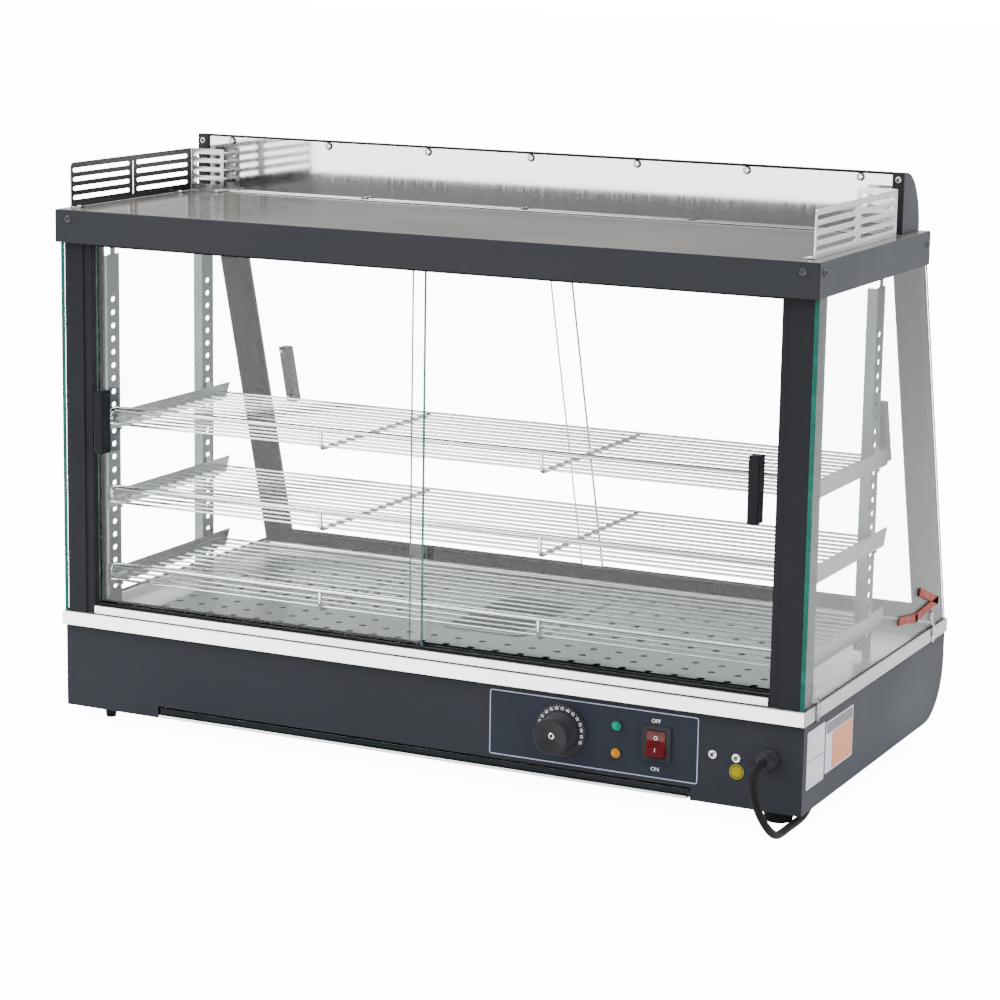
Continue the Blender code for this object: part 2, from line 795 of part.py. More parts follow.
def add_switch():
    """Mains rocker switch: snap-in housing and a rocker that tips on two pins."""
    bezel_front = base_front - touch_gap - bezel_depth
    bezel = block((switch_x - bezel_width / 2, bezel_front, switch_z - bezel_height / 2),
                  (switch_x + bezel_width / 2, base_front - touch_gap, switch_z + bezel_height / 2))
    body = block((switch_x - switch_body_width / 2, base_front - touch_gap - bezel_depth / 2,
                  switch_z - switch_body_height / 2),
                 (switch_x + switch_body_width / 2, base_front + switch_body_depth, switch_z + switch_body_height / 2))
    pivot_y = bezel_front + rocker_pivot_depth
    reach = math.hypot(rocker_half, rocker_face) + rocker_play
    half_w = rocker_width / 2 + rocker_play
    cavity = block((switch_x - half_w, bezel_front - overrun, switch_z - reach),
                   (switch_x + half_w, pivot_y + reach / 2, switch_z + reach))
    pin_half = rocker_width / 2 + rocker_pin_reach
    socket = rod_along_x(switch_x, pin_half + touch_gap, pivot_y, switch_z, rocker_pin_radius + touch_gap)
    housing = cut(cut(united(bezel, [body]), [cavity]), [socket])
    add_piece("switch_housing", housing, black_plastic)
    outline = []
    for along, depth in ((rocker_half, -rocker_face), (0, -rocker_face + rocker_dip), (-rocker_half, -rocker_face),
                         (-rocker_half, 0), (-rocker_half / 2, rocker_back), (rocker_half / 2, rocker_back),
                         (rocker_half, 0)):
        turned_y = depth * math.cos(rocker_tilt) + along * math.sin(rocker_tilt)
        turned_z = along * math.cos(rocker_tilt) - depth * math.sin(rocker_tilt)
        outline.append((pivot_y + turned_y, switch_z + turned_z))
    rocker = prism(outline, "X", switch_x - rocker_width / 2, switch_x + rocker_width / 2)
    pin = rod_along_x(switch_x, pin_half, pivot_y, switch_z, rocker_pin_radius)
    add_piece("switch_rocker", united(rocker, [pin]), red_plastic, (switch_x, pivot_y, switch_z))


def add_terminal_block():
    """Ceramic block on the panel's back, where the cord's cores are clamped."""
    low_y = panel_back + touch_gap
    add_piece("terminal_block", block((terminal_x - terminal_width / 2, low_y, gland_z - terminal_height / 2),
                                      (terminal_x + terminal_width / 2, low_y + terminal_depth,
                                       gland_z + terminal_height / 2)), white_ceramic)


# Cord
gland_front = base_front - touch_gap - gland_nut_depth - gland_dome_depth
cord_start_y = gland_front - gland_sleeve_length - touch_gap


def add_cable_gland():
    """Screwed gland with a tapered sleeve that keeps the cord from kinking."""
    nut_front = base_front - touch_gap - gland_nut_depth
    sleeve_front = gland_front - gland_sleeve_length
    thread_end = panel_back + gland_thread_length
    profile = [(0, sleeve_front), (gland_sleeve_radius, sleeve_front), (gland_dome_radius, gland_front),
               (gland_nut_radius, nut_front), (gland_nut_radius, base_front - touch_gap),
               (gland_thread_radius, base_front - touch_gap), (gland_thread_radius, thread_end), (0, thread_end)]
    add_piece("cable_gland", moved(turned(profile, gland_sides), (gland_x, 0, gland_z)), black_plastic)


cord_floor = cord_radius + touch_gap
coil_centre = (0.3270, 0.3130)
cord_route = [
    (gland_x, cord_start_y, gland_z), (gland_x, -0.2440, gland_z), (0.4112, -0.2574, 0.0724),
    (0.4125, -0.2688, 0.0663), (0.4156, -0.2773, 0.0570), (0.4202, -0.2818, 0.0456),
    (0.4253, -0.2818, 0.0335), (0.4299, -0.2773, 0.0220), (0.4330, -0.2688, 0.0127),
    (0.4343, -0.2574, 0.0067), (0.4345, -0.2444, cord_floor), (0.4345, -0.2250, cord_floor),
    (0.4347, -0.2000, cord_floor), (0.4338, -0.1780, cord_floor), (0.4295, -0.1520, cord_floor),
    (0.4225, -0.1250, cord_floor), (0.4135, -0.0950, cord_floor), (0.4050, -0.0600, cord_floor),
    (0.3985, -0.0200, cord_floor), (0.3932, 0.0300, cord_floor), (0.3889, 0.0850, cord_floor),
    (0.3860, 0.1350, cord_floor), (0.3850, 0.1800, cord_floor), (0.3850, 0.2300, cord_floor),
    (0.3853, 0.2750, cord_floor),
]


def smooth_path(points, step):
    """Places along a smooth curve through the given points, about one step apart."""
    places = []
    padded = [points[0], *points, points[-1]]
    for index in range(1, len(padded) - 2):
        before, start, end, after = (Vector(place) for place in padded[index - 1:index + 3])
        count = max(1, round((end - start).length / step))
        for part in range(count):
            share = part / count
            first = 2 * start + (end - before) * share
            second = (2 * before - 5 * start + 4 * end - after) * share ** 2
            third = (3 * start - before - 3 * end + after) * share ** 3
            places.append((first + second + third) / 2)
    places.append(Vector(points[-1]))
    return places


def coil_places():
    """Two layers: the lower spirals in, climbs in half a turn, and the upper spirals out again."""
    places = []
    total = round(coil_turns * coil_points_per_turn)
    climb = coil_points_per_turn / 2
    for index in range(total + 1):
        radius = coil_outer_radius - coil_pitch * min(index, total - index) / coil_points_per_turn
        angle = math.tau * index / coil_points_per_turn
        share = min(1, max(0, (index - total / 2 + climb / 2) / climb))
        lift = coil_rise * share * share * (3 - 2 * share)
        x = coil_centre[0] + radius * math.cos(angle)
        y = coil_centre[1] + radius * math.sin(angle)
        places.append(Vector((x, y, cord_floor + lift)))
    return places


def least_gap(places):
    """Smallest clear space between parts of the coil that are half a turn or more apart."""
    nearest = coil_outer_radius
    for index, place in enumerate(places):
        for other in places[index + coil_points_per_turn // 2:]:
            nearest = min(nearest, (place - other).length)
    return nearest - 2 * cord_radius


def path_length(places):
    """Length along a list of places."""
    return sum((after - before).length for before, after in zip(places, places[1:]))


def add_cord():
    """Mains lead: down from the gland, back below the case, coiled behind it, plug beside the coil."""
    free = smooth_path(cord_route, cord_step)
    coil = coil_places()
    entry = (coil[1] - coil[0]).normalized()
    free += [coil[0] - entry * cord_step / 2, coil[0] - entry * touch_gap]
    add_piece("power_cord_tube", tube(free, cord_radius, cord_sides), black_rubber)
    plug_z = plug_height / 2 + touch_gap
    coil.append(coil[-1] - Vector((coil_lead, 0, 0)))
    coil.append(Vector((coil[-1].x - coil_lead, coil[-1].y, plug_z)))
    coil.append(coil[-1] - Vector((coil_lead / 3, 0, 0)))
    add_piece("power_cord_coil", tube(coil, cord_radius, cord_sides), black_rubber)
    print("cord length", round(path_length(free) + path_length(coil), 4), "coil gap", round(least_gap(coil), 5))
    add_power_plug(coil[-1].x - touch_gap, coil[-1].y, plug_z)


def add_power_plug(tail_x, y, z):
    """Moulded three-pin plug lying flat, its pins pointing away from the cord."""
    face = tail_x - plug_tail_length - plug_length
    tail = [(0, face + plug_length / 2), (plug_tail_radius, face + plug_length / 2),
            (plug_tail_radius, face + plug_length), (cord_radius, tail_x), (0, tail_x)]
    body = block((face, y - plug_width / 2, z - plug_height / 2),
                 (face + plug_length, y + plug_width / 2, z + plug_height / 2))
    parts = [moved(laid_along_x(turned(tail, lamp_sides)), (0, y, z))]
    blade_z = z + earth_pin_drop
    for side in (-1, 1):
        middle = y + side * blade_spacing / 2
        parts.append(block((face - blade_length, middle - blade_thickness / 2, blade_z - blade_width / 2),
                           (face + overrun, middle + blade_thickness / 2, blade_z + blade_width / 2)))
    parts.append(rod_along_x(face - blade_length / 2 + overrun / 2, (blade_length + overrun) / 2, y,
                             z - earth_pin_drop, earth_pin_radius))
    add_piece("power_plug", united(body, parts), black_rubber)


# Top cover
cover_front = behind(-top_overhang)
cover_rear = cover_front + top_depth
upper_end = ceiling - touch_gap


def add_top_cover():
    """Folded cover, open below, and the flanged ceiling panel inside it."""
    outer = block((-half_width, cover_front, cover_bottom), (half_width, cover_rear, cover_top))
    inner = block((-half_width + panel_sheet, cover_front + panel_sheet, cover_bottom - overrun),
                  (half_width - panel_sheet, cover_rear - panel_sheet, cover_top - panel_sheet))
    add_piece("top_cover", cut(outer, [inner]), black_paint)
    margin = panel_sheet + ceiling_play
    plate = block((-half_width + margin, cover_front + margin, ceiling),
                  (half_width - margin, cover_rear - margin, ceiling + ceiling_flange))
    margin += steel_sheet
    hollow = block((-half_width + margin, cover_front + margin, ceiling + steel_sheet),
                   (half_width - margin, cover_rear - margin, ceiling + ceiling_flange + overrun))
    add_piece("ceiling_panel", cut(plate, [hollow]), black_paint)


# Posts and side glass
ledge_seat = ledge_top + touch_gap
post_front = behind(post_setback)
post_outer_x = half_width - post_outer_inset
post_inner_x = post_outer_x - post_face_width - post_strip_width


def add_posts_and_glass():
    """Front posts with a recessed inner strip, slanted rear posts, and a glass pane each side."""
    step_x = post_outer_x - post_face_width
    for name, sign in (("left", -1), ("right", 1)):
        outline = [(sign * post_outer_x, post_front), (sign * step_x, post_front),
                   (sign * step_x, post_front + post_strip_step), (sign * post_inner_x, post_front + post_strip_step),
                   (sign * post_inner_x, post_front + post_depth), (sign * post_outer_x, post_front + post_depth)]
        add_piece(f"post_front_{name}", prism(outline, "Z", ledge_seat, upper_end), black_paint)
        edges = sorted((sign * rear_post_inner_x, sign * post_outer_x))
        add_piece(f"post_rear_{name}", slanted_block(*edges, 0, rear_post_depth, ledge_seat, upper_end), black_paint)
        outer_x = half_width - side_glass_inset
        edges = sorted((sign * outer_x, sign * (outer_x - glass_sheet)))
        pane = [(post_front, ledge_seat), (slanted(0, ledge_seat), ledge_seat),
                (slanted(0, upper_end), upper_end), (post_front, upper_end)]
        add_piece(f"side_glass_{name}", prism(pane, "X", *edges), clear_glass)


# Sill, tracks and doors
sill_half = post_inner_x - touch_gap
sill_rear = post_front + sill_depth
sill_top = ledge_seat + sill_height
track_front = post_front + sill_wall + touch_gap
track_rear = sill_rear - sill_wall - touch_gap
track_bottom = ledge_seat + sill_floor + touch_gap
track_top = sill_top + track_stand
hung_bottom = cover_bottom - track_hang
operator_door_bottom = track_bottom + track_floor + touch_gap
customer_door_bottom = ledge_seat + rear_track_floor + touch_gap
door_top = upper_end - track_floor - door_lift_play


def add_front_tracks():
    """Stainless channel sill, and the black double-groove tracks of the operator's doors."""
    sill = block((-sill_half, post_front, ledge_seat), (sill_half, sill_rear, sill_top))
    channel = block((-sill_half - overrun, post_front + sill_wall, ledge_seat + sill_floor),
                    (sill_half + overrun, sill_rear - sill_wall, sill_top + overrun))
    add_piece("front_sill", cut(sill, [channel]), stainless)
    lower = block((-sill_half, track_front, track_bottom), (sill_half, track_rear, track_top))
    upper = block((-sill_half, track_front, hung_bottom), (sill_half, track_rear, upper_end))
    for name, track, low, high in (("lower", lower, track_bottom + track_floor, track_top + overrun),
                                   ("upper", upper, hung_bottom - overrun, upper_end - track_floor)):
        grooves = []
        for setback in (front_groove_setback, rear_groove_setback):
            near = behind(setback)
            grooves.append(block((-sill_half - overrun, near - groove_play, low),
                                 (sill_half + overrun, near + glass_sheet + groove_play, high)))
        add_piece(f"front_track_{name}", cut(track, grooves), black_plastic)


def add_rear_tracks():
    """The customer doors' tracks, which follow the slant."""
    half = rear_post_inner_x - touch_gap
    rear_top = ledge_seat + rear_track_height
    for name, bottom, top, low, high in (
            ("lower", ledge_seat, rear_top, ledge_seat + rear_track_floor, rear_top + overrun),
            ("upper", hung_bottom, upper_end, hung_bottom - overrun, upper_end - track_floor)):
        grooves = []
        for setback in (outer_door_setback, inner_door_setback):
            far = setback + glass_sheet + groove_play
            grooves.append(slanted_block(-half - overrun, half + overrun, setback - groove_play, far, low, high))
        track = slanted_block(-half, half, 0, rear_post_depth, bottom, top)
        add_piece(f"rear_track_{name}", cut(track, grooves), black_plastic)


def handle_mesh(x, y, depth, low, high):
    """Upright bar handle with chamfered outer edges; a negative depth points to the operator."""
    corner = math.copysign(handle_corner, depth)
    half = handle_width / 2
    outline = [(x - half, y), (x + half, y), (x + half, y + depth - corner), (x + half - handle_corner, y + depth),
               (x - half + handle_corner, y + depth), (x - half, y + depth - corner)]
    return prism(outline, "Z", low, high)


def sheared(mesh):
    """Lean an upright mesh along the customer side's slant."""
    for vertex in mesh.vertices:
        vertex.co.y += slanted(0, vertex.co.z)
    return mesh


def add_doors():
    """Four sliding panes in their grooves, each with a bar handle on its outer face."""
    door_edge = post_inner_x - touch_gap
    low = ledge_top + operator_handle_rise
    for name, setback, edges, handle_x in (
            ("left", front_groove_setback, (-door_edge, operator_left_reach),
             operator_handle_left_inset - half_width),
            ("right", rear_groove_setback, (-operator_right_reach, door_edge),
             half_width - operator_handle_right_inset)):
        near = behind(setback)
        pane = block((edges[0], near, operator_door_bottom), (edges[1], near + glass_sheet, door_top))
        add_piece(f"operator_door_{name}", pane, clear_glass)
        handle = handle_mesh(handle_x, near - touch_gap, -handle_depth, low, low + handle_height)
        add_piece(f"operator_handle_{name}", handle, black_plastic)
    door_edge = rear_post_inner_x - 2 * touch_gap
    customer_handle_x = half_width - customer_handle_inset
    low = ledge_top + customer_handle_rise
    for name, setback, edges, handle_x in (
            ("left", outer_door_setback, (-door_edge, customer_left_reach), -customer_handle_x),
            ("right", inner_door_setback, (-customer_right_reach, door_edge), customer_handle_x)):
        pane = slanted_block(*edges, setback, setback + glass_sheet, customer_door_bottom, door_top)
        add_piece(f"customer_door_{name}", pane, clear_glass)
        handle = handle_mesh(handle_x, touch_gap - setback, handle_depth, low, low + handle_height)
        add_piece(f"customer_handle_{name}", sheared(handle), black_plastic)


# Shelf standards and wire shelves
arm_left_x = standard_left_x + standard_sheet + touch_gap
arm_right_x = standard_right_x + standard_sheet + touch_gap
shelf_levels = [deck_top + shelf_first_rise + index * shelf_slots_apart * slot_pitch for index in range(shelf_count)]


def add_standards():
    """Four slotted uprights, front and rear on each side, with a seat tab under every shelf arm."""
    foot = deck_top + touch_gap
    for end, x in (("left", standard_left_x), ("right", standard_right_x)):
        for row, setback in (("front", standard_front_setback), ("rear", standard_rear_setback)):
            near = behind(setback)
            far = near + standard_leg
            leg = block((x, near, foot), (x + standard_sheet, far, upper_end))
            flange = block((x - standard_flange, near, ledge_seat),
                           (x + standard_sheet / 2, near + standard_sheet, upper_end - standard_flange_drop))
            tabs = [flange]
            for level in shelf_levels:
                seat = level - touch_gap
                tabs.append(block((x + standard_sheet / 2, far - seat_tab_depth, seat - seat_tab_sheet),
                                  (x + standard_sheet + seat_tab_reach, far, seat)))
            middle = (near + far) / 2
            slots = []
            for index in range(slot_count):
                level = cover_bottom - slot_first_drop - index * slot_pitch
                slots.append(block((x - overrun, middle - slot_width / 2, level - slot_height / 2),
                                   (x + standard_sheet + seat_tab_reach / 2, middle + slot_width / 2,
                                    level + slot_height / 2)))
            add_piece(f"shelf_standard_{row}_{end}", united(cut(leg, slots), tabs), stainless)


def arm_outline(level):
    """Side arm with two hanger upstands and an angled rear end, as (y, z) pairs."""
    near = behind(arm_setback)
    far = near + arm_length
    rear_hanger = behind(rear_hanger_setback)
    top = level + arm_height
    hanger_top = level + hanger_height
    return [(near, level), (far - arm_height / 2, level), (far, top), (rear_hanger + hanger_depth, top),
            (rear_hanger + hanger_depth, hanger_top), (rear_hanger, hanger_top), (rear_hanger, top),
            (near + hanger_depth, top), (near + hanger_depth, hanger_top), (near, hanger_top)]


def bent_path(corners, radius):
    """Path through the given corners, each inner one rounded off."""
    path = [Vector(corners[0])]
    for before, corner, after in zip(corners, corners[1:], corners[2:]):
        corner = Vector(corner)
        start = corner + (Vector(before) - corner).normalized() * radius
        end = corner + (Vector(after) - corner).normalized() * radius
        for step in range(bend_steps + 1):
            share = step / bend_steps
            path.append(start * (1 - share) ** 2 + corner * 2 * share * (1 - share) + end * share ** 2)
    path.append(Vector(corners[-1]))
    return path


def behind_standard(y):
    """Whether a wire at this Y would run into an upright on the right."""
    for setback in (standard_front_setback, standard_rear_setback):
        near = behind(setback) - 2 * wire_radius
        if near < y < near + standard_leg + 4 * wire_radius:
            return True
    return False


def add_shelf(name, level):
    """Two side arms, wires between them, two cross bars, and the raised front rail.

    The wires in line with the right uprights stop short of them, so the shelf lifts out.
    """
    left_face = arm_left_x + arm_sheet
    arms = [prism(arm_outline(level), "X", arm_left_x, left_face),
            prism(arm_outline(level), "X", arm_right_x, arm_right_x + arm_sheet)]
    wire_z = level + wire_rise
    rail_y = behind(shelf_rail_setback)
    rail_z = level + shelf_rail_rise
    first_y = behind(arm_setback) + wire_margin
    last_y = first_y + arm_length - arm_height / 2 - 2 * wire_margin
    wires = []
    for index in range(wire_count):
        y = first_y + (last_y - first_y) * index / (wire_count - 1)
        low_x = left_face - bar_sink
        high_x = arm_right_x + bar_sink
        if behind_standard(y):
            high_x = standard_right_x - standard_flange - wire_radius
        wires.append(rod_along_x((low_x + high_x) / 2, (high_x - low_x) / 2, y, wire_z, wire_radius, wire_sides))
    shelf = united(united(arms[0], wires), [arms[1]])
    bar_z = wire_z - wire_radius - cross_bar_radius + bar_sink
    bars = []
    for x in (cross_bar_left, cross_bar_right):
        hook = [(x, last_y + wire_margin, bar_z), (x, rail_y, bar_z), (x, rail_y, rail_z)]
        bars.append(tube_mesh(bent_path(hook, bend_radius), cross_bar_radius, shelf_rail_sides))
    shelf = united(shelf, bars)
    ends = (left_face + rail_end_inset, arm_right_x - rail_end_inset_right)
    low = wire_z + wire_radius + shelf_rail_radius - bar_sink
    corners = [(ends[0], first_y + rail_tail, low), (ends[0], rail_y, low), (ends[0], rail_y, rail_z),
               (ends[1], rail_y, rail_z), (ends[1], rail_y, low), (ends[1], first_y + rail_tail, low)]
    rail = tube_mesh(bent_path(corners, bend_radius), shelf_rail_radius, shelf_rail_sides)
    add_piece(name, united(shelf, [rail]), chrome)


# Gallery rails
def add_gallery_rails():
    """Slotted L-shaped rails along both ends of the top cover."""
    low = cover_top + touch_gap
    high = low + rail_height
    front = behind(rail_setback)
    rear = front + rail_length
    for name, sign, rail_x in (("left", -1, rail_left_x), ("right", 1, rail_right_x)):
        edges = sorted((sign * rail_x, sign * (rail_x - steel_sheet)))
        turn = sorted((sign * rail_x, sign * (rail_x - rail_return)))
        side = block((edges[0], front, low), (edges[1], rear, high))
        back = block((turn[0], rear - steel_sheet, low), (turn[1], rear + touch_gap, high))
        middle = (front + rear) / 2
        slots = []
        for row in range(rail_slot_rows):
            top = high - rail_slot_first_drop - row * rail_slot_pitch
            reach = (edges[0] - overrun, edges[1] + overrun)
            for start, end in ((front + rail_slot_margin, middle - rail_slot_bridge / 2),
                               (middle + rail_slot_bridge / 2, rear - rail_slot_margin - rail_slot_margin)):
                slots.append(prism(slot_outline(start, end, top), "X", *reach))
            inner = sorted((sign * (rail_x - 2 * rail_slot_margin), sign * (rail_x - rail_return + rail_slot_margin)))
            slots.append(prism(slot_outline(*inner, top), "Y", rear - steel_sheet - overrun, rear + overrun))
        slots.append(block((edges[0] - overrun, middle - steel_sheet, low + rail_slot_pitch / 2),
                           (edges[1] + overrun, middle + steel_sheet, high - rail_slot_first_drop)))
        tabs = []
        tab_x = sorted((sign * (rail_x - steel_sheet / 2), sign * (rail_x - rail_tab_reach)))
        for start in (front, rear - rail_tab_back):
            tabs.append(block((tab_x[0], start, low), (tab_x[1], start + rail_tab_width, low + steel_sheet)))
        end_x = sorted((sign * (rail_x - rail_return), sign * (rail_x - rail_return + rail_tab_width)))
        tabs.append(block((end_x[0], rear - rail_tab_reach, low), (end_x[1], rear, low + steel_sheet)))
        add_piece(f"gallery_rail_{name}", united(cut(united(side, [back]), slots), tabs), stainless)


def slot_outline(start, end, top):
    """Long slot with cut corners, as pairs of a place along the rail and a height."""
    bottom = top - rail_slot_height
    corner = rail_slot_chamfer
    return [(start + corner, bottom), (end - corner, bottom), (end, bottom + corner), (end, top - corner),
            (end - corner, top), (start + corner, top), (start, top - corner), (start, bottom + corner)]


# Header
header_low = cover_top + touch_gap
header_left = -half_width + header_side_inset - header_shift
header_right = half_width - header_side_inset - header_shift
header_front = behind(header_front_setback)
header_rear = behind(header_rear_setback)
splash_left = header_left + header_cap_width + touch_gap
splash_right = header_right - header_cap_width - touch_gap


def header_curve(inset):
    """Arc over the header, from the end of its flat top down to its rear edge, as (y, z) pairs."""
    centre_y = header_front + header_flat
    points = []
    for step in range(header_steps + 1):
        angle = math.pi / 2 * (1 - step / header_steps)
        points.append((centre_y + (header_rear - inset - centre_y) * math.cos(angle),
                       header_low + (header_top - inset - header_low) * math.sin(angle)))
    return points


def add_header():
    """Stainless splash plate, and the curved shell with its two end caps behind it."""
    splash_y = header_front + splash_setback
    flange_y = splash_y + steel_sheet - splash_flange
    splash_top = header_top - header_sheet - splash_top_drop
    outline = [(flange_y, header_low), (splash_y + steel_sheet, header_low), (splash_y + steel_sheet, splash_top),
               (splash_y, splash_top), (splash_y, header_low + steel_sheet), (flange_y, header_low + steel_sheet)]
    add_piece("backsplash", prism(outline, "X", splash_left, splash_right), stainless)
    front = header_front + header_sheet
    outer = [(front, header_top), *header_curve(0)]
    inner = [*reversed(header_curve(header_sheet)), (front, header_top - header_sheet)]
    sheet = prism(outer + inner, "X", header_left + overrun, header_right - overrun)
    cap_outline = [(header_front, header_low), (header_front, header_top), *header_curve(0)]
    caps = [prism(cap_outline, "X", header_left, header_left + header_cap_width),
            prism(cap_outline, "X", header_right - header_cap_width, header_right)]
    add_piece("header_shell", united(sheet, caps), black_paint)


add_base_front_panel()
add_base_casing()
add_feet()
add_deck_plate()
add_perforated_floor()
add_water_pan()
add_heat_shield()
add_heating_elements()
add_crumb_tray()
add_thermostat()
add_lamps()
add_switch()
add_terminal_block()
add_cable_gland()
add_cord()
add_top_cover()
add_posts_and_glass()
add_front_tracks()
add_rear_tracks()
add_doors()
add_standards()
for number, height in enumerate(shelf_levels, start=1):
    add_shelf(f"shelf_{number}", height)
add_gallery_rails()
add_header()
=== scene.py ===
"""Looks of the heated display case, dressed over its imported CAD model.

Metres, in the frame of the CAD: +X to the operator's right, +Y to the customers, +Z up.
"""
import math

import bmesh
import bpy
from mathutils import Matrix, Vector


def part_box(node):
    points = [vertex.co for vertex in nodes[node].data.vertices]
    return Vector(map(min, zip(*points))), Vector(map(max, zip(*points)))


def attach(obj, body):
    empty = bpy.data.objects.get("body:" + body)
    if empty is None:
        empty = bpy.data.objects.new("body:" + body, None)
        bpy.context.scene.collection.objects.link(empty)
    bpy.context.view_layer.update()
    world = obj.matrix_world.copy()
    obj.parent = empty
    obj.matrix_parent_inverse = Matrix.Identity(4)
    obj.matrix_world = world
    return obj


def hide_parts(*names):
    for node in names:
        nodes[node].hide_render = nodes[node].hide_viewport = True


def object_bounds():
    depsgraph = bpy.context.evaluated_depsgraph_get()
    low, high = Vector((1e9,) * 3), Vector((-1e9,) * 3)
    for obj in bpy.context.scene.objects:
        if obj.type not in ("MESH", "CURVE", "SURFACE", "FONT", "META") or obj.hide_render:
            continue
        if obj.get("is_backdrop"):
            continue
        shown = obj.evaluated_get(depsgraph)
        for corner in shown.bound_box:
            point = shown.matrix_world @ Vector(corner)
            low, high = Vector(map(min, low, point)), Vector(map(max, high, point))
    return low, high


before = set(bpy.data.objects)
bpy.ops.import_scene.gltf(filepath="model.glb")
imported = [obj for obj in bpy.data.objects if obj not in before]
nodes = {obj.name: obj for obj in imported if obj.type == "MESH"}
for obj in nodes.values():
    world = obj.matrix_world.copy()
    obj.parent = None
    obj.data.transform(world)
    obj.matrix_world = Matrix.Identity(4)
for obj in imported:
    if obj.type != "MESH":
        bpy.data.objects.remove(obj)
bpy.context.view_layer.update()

# Camera: a long lens, a little above the case and to its right, as in the photograph.
camera_place = (1.4395, -2.9969, 0.9324)
camera_turn = 0.4496
camera_tilt = -0.1983
camera_roll = 0.0166
camera = bpy.data.objects.new("camera", bpy.data.cameras.new("camera"))
camera.data.sensor_width = 36
camera.data.lens = 107.5
camera.data.clip_end = 30
camera.matrix_world = (Matrix.Translation(camera_place) @ Matrix.Rotation(camera_turn, 4, "Z")
                       @ Matrix.Rotation(math.pi / 2 + camera_tilt, 4, "X")
                       @ Matrix.Rotation(camera_roll, 4, "Z"))
bpy.context.scene.collection.objects.link(camera)
bpy.context.scene.camera = camera

# Studio: a plain pale floor and backdrop, and three large soft lamps. What the camera sees past the case
# is near white, as in the photograph; what lights the case and shows in its steel is dimmer, with more
# light from above and behind, and from the floor in front.
floor_size = 40
floor_albedo = 0.86
backdrop_light = 18.0
floor_light = 12.0
floor_glow_near = 3.4
floor_glow_far = 0.0
sky_bright = 1.55
sky_dim = 0.30


def new_node(tree, kind, operation=None, **values):
    """Shader node with its operation and its numbered or named input values set."""
    node = tree.nodes.new(kind)
    if operation:
        node.operation = operation
    for label, value in values.items():
        key = int(label[1:]) if label[1:].isdigit() else label.replace("_", " ")
        node.inputs[key].default_value = value
    return node


def direct_share(tree):
    """Light path node, and a socket that is one for what the camera sees straight or through glass."""
    path = tree.nodes.new("ShaderNodeLightPath")
    share = new_node(tree, "ShaderNodeMath", "MULTIPLY")
    for index, label in enumerate(("Diffuse Depth", "Glossy Depth")):
        first = new_node(tree, "ShaderNodeMath", "LESS_THAN", _1=0.5)
        tree.links.new(path.outputs[label], first.inputs[0])
        tree.links.new(first.outputs[0], share.inputs[index])
    return path, share.outputs[0]


def graded(tree, coordinate, direction, span, values):
    """Value that runs between two others along a direction."""
    along = new_node(tree, "ShaderNodeVectorMath", "DOT_PRODUCT", _1=direction)
    tree.links.new(tree.nodes.new("ShaderNodeTexCoord").outputs[coordinate], along.inputs[0])
    scale = new_node(tree, "ShaderNodeMapRange", From_Min=span[0], From_Max=span[1], To_Min=values[0],
                     To_Max=values[1])
    tree.links.new(along.outputs["Value"], scale.inputs["Value"])
    return scale.outputs["Result"]


floor_mesh = bpy.data.meshes.new("studio_floor")
half = floor_size / 2
floor_mesh.from_pydata([(-half, -half, 0), (half, -half, 0), (half, half, 0), (-half, half, 0)], [],
                       [(0, 1, 2, 3)])
studio_floor = bpy.data.objects.new("studio_floor", floor_mesh)
bpy.context.scene.collection.objects.link(studio_floor)
studio_floor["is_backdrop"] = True
floor_paint = bpy.data.materials.new("studio_floor")
floor_paint.use_nodes = True
tree = floor_paint.node_tree
floor_shader = tree.nodes["Principled BSDF"]
floor_shader.inputs["Base Color"].default_value = (floor_albedo, floor_albedo, floor_albedo, 1)
floor_shader.inputs["Roughness"].default_value = 0.8
floor_shader.inputs["Emission Color"].default_value = (1, 1, 1, 1)
path, direct = direct_share(tree)
glow = new_node(tree, "ShaderNodeMath", "MULTIPLY")
tree.links.new(path.outputs["Is Glossy Ray"], glow.inputs[0])
tree.links.new(graded(tree, "Object", (0.5, 0.85, 0), (-0.9, 0.25), (floor_glow_near, floor_glow_far)),
               glow.inputs[1])
shown = new_node(tree, "ShaderNodeMath", "MULTIPLY_ADD", _1=floor_light)
tree.links.new(direct, shown.inputs[0])
tree.links.new(glow.outputs[0], shown.inputs[2])
tree.links.new(shown.outputs[0], floor_shader.inputs["Emission Strength"])
floor_mesh.materials.append(floor_paint)

sky = bpy.data.worlds.new("sky")
sky.use_nodes = True
tree = sky.node_tree
sky_glow = tree.nodes["Background"]
sky_glow.inputs["Color"].default_value = (0.96, 0.98, 1.0, 1)
tree.links.new(graded(tree, "Generated", (-0.30, 0.35, 0.90), (-0.2, 1.0), (sky_dim, sky_bright)),
               sky_glow.inputs["Strength"])
backdrop = new_node(tree, "ShaderNodeBackground", Color=(1, 1, 1, 1), Strength=backdrop_light)
sky_mix = tree.nodes.new("ShaderNodeMixShader")
tree.links.new(direct_share(tree)[1], sky_mix.inputs[0])
tree.links.new(sky_glow.outputs[0], sky_mix.inputs[1])
tree.links.new(backdrop.outputs[0], sky_mix.inputs[2])
tree.links.new(sky_mix.outputs[0], tree.nodes["World Output"].inputs["Surface"])
bpy.context.scene.world = sky


def add_lamp(name, place, target, size, power, colour=(1, 1, 1)):
    """Square soft lamp that points at a place."""
    lamp = bpy.data.objects.new(name, bpy.data.lights.new(name, "AREA"))
    lamp.data.size = size
    lamp.data.energy = power
    lamp.data.color = colour
    lamp.location = place
    lamp.rotation_euler = (Vector(target) - Vector(place)).to_track_quat("-Z", "Y").to_euler()
    bpy.context.scene.collection.objects.link(lamp)


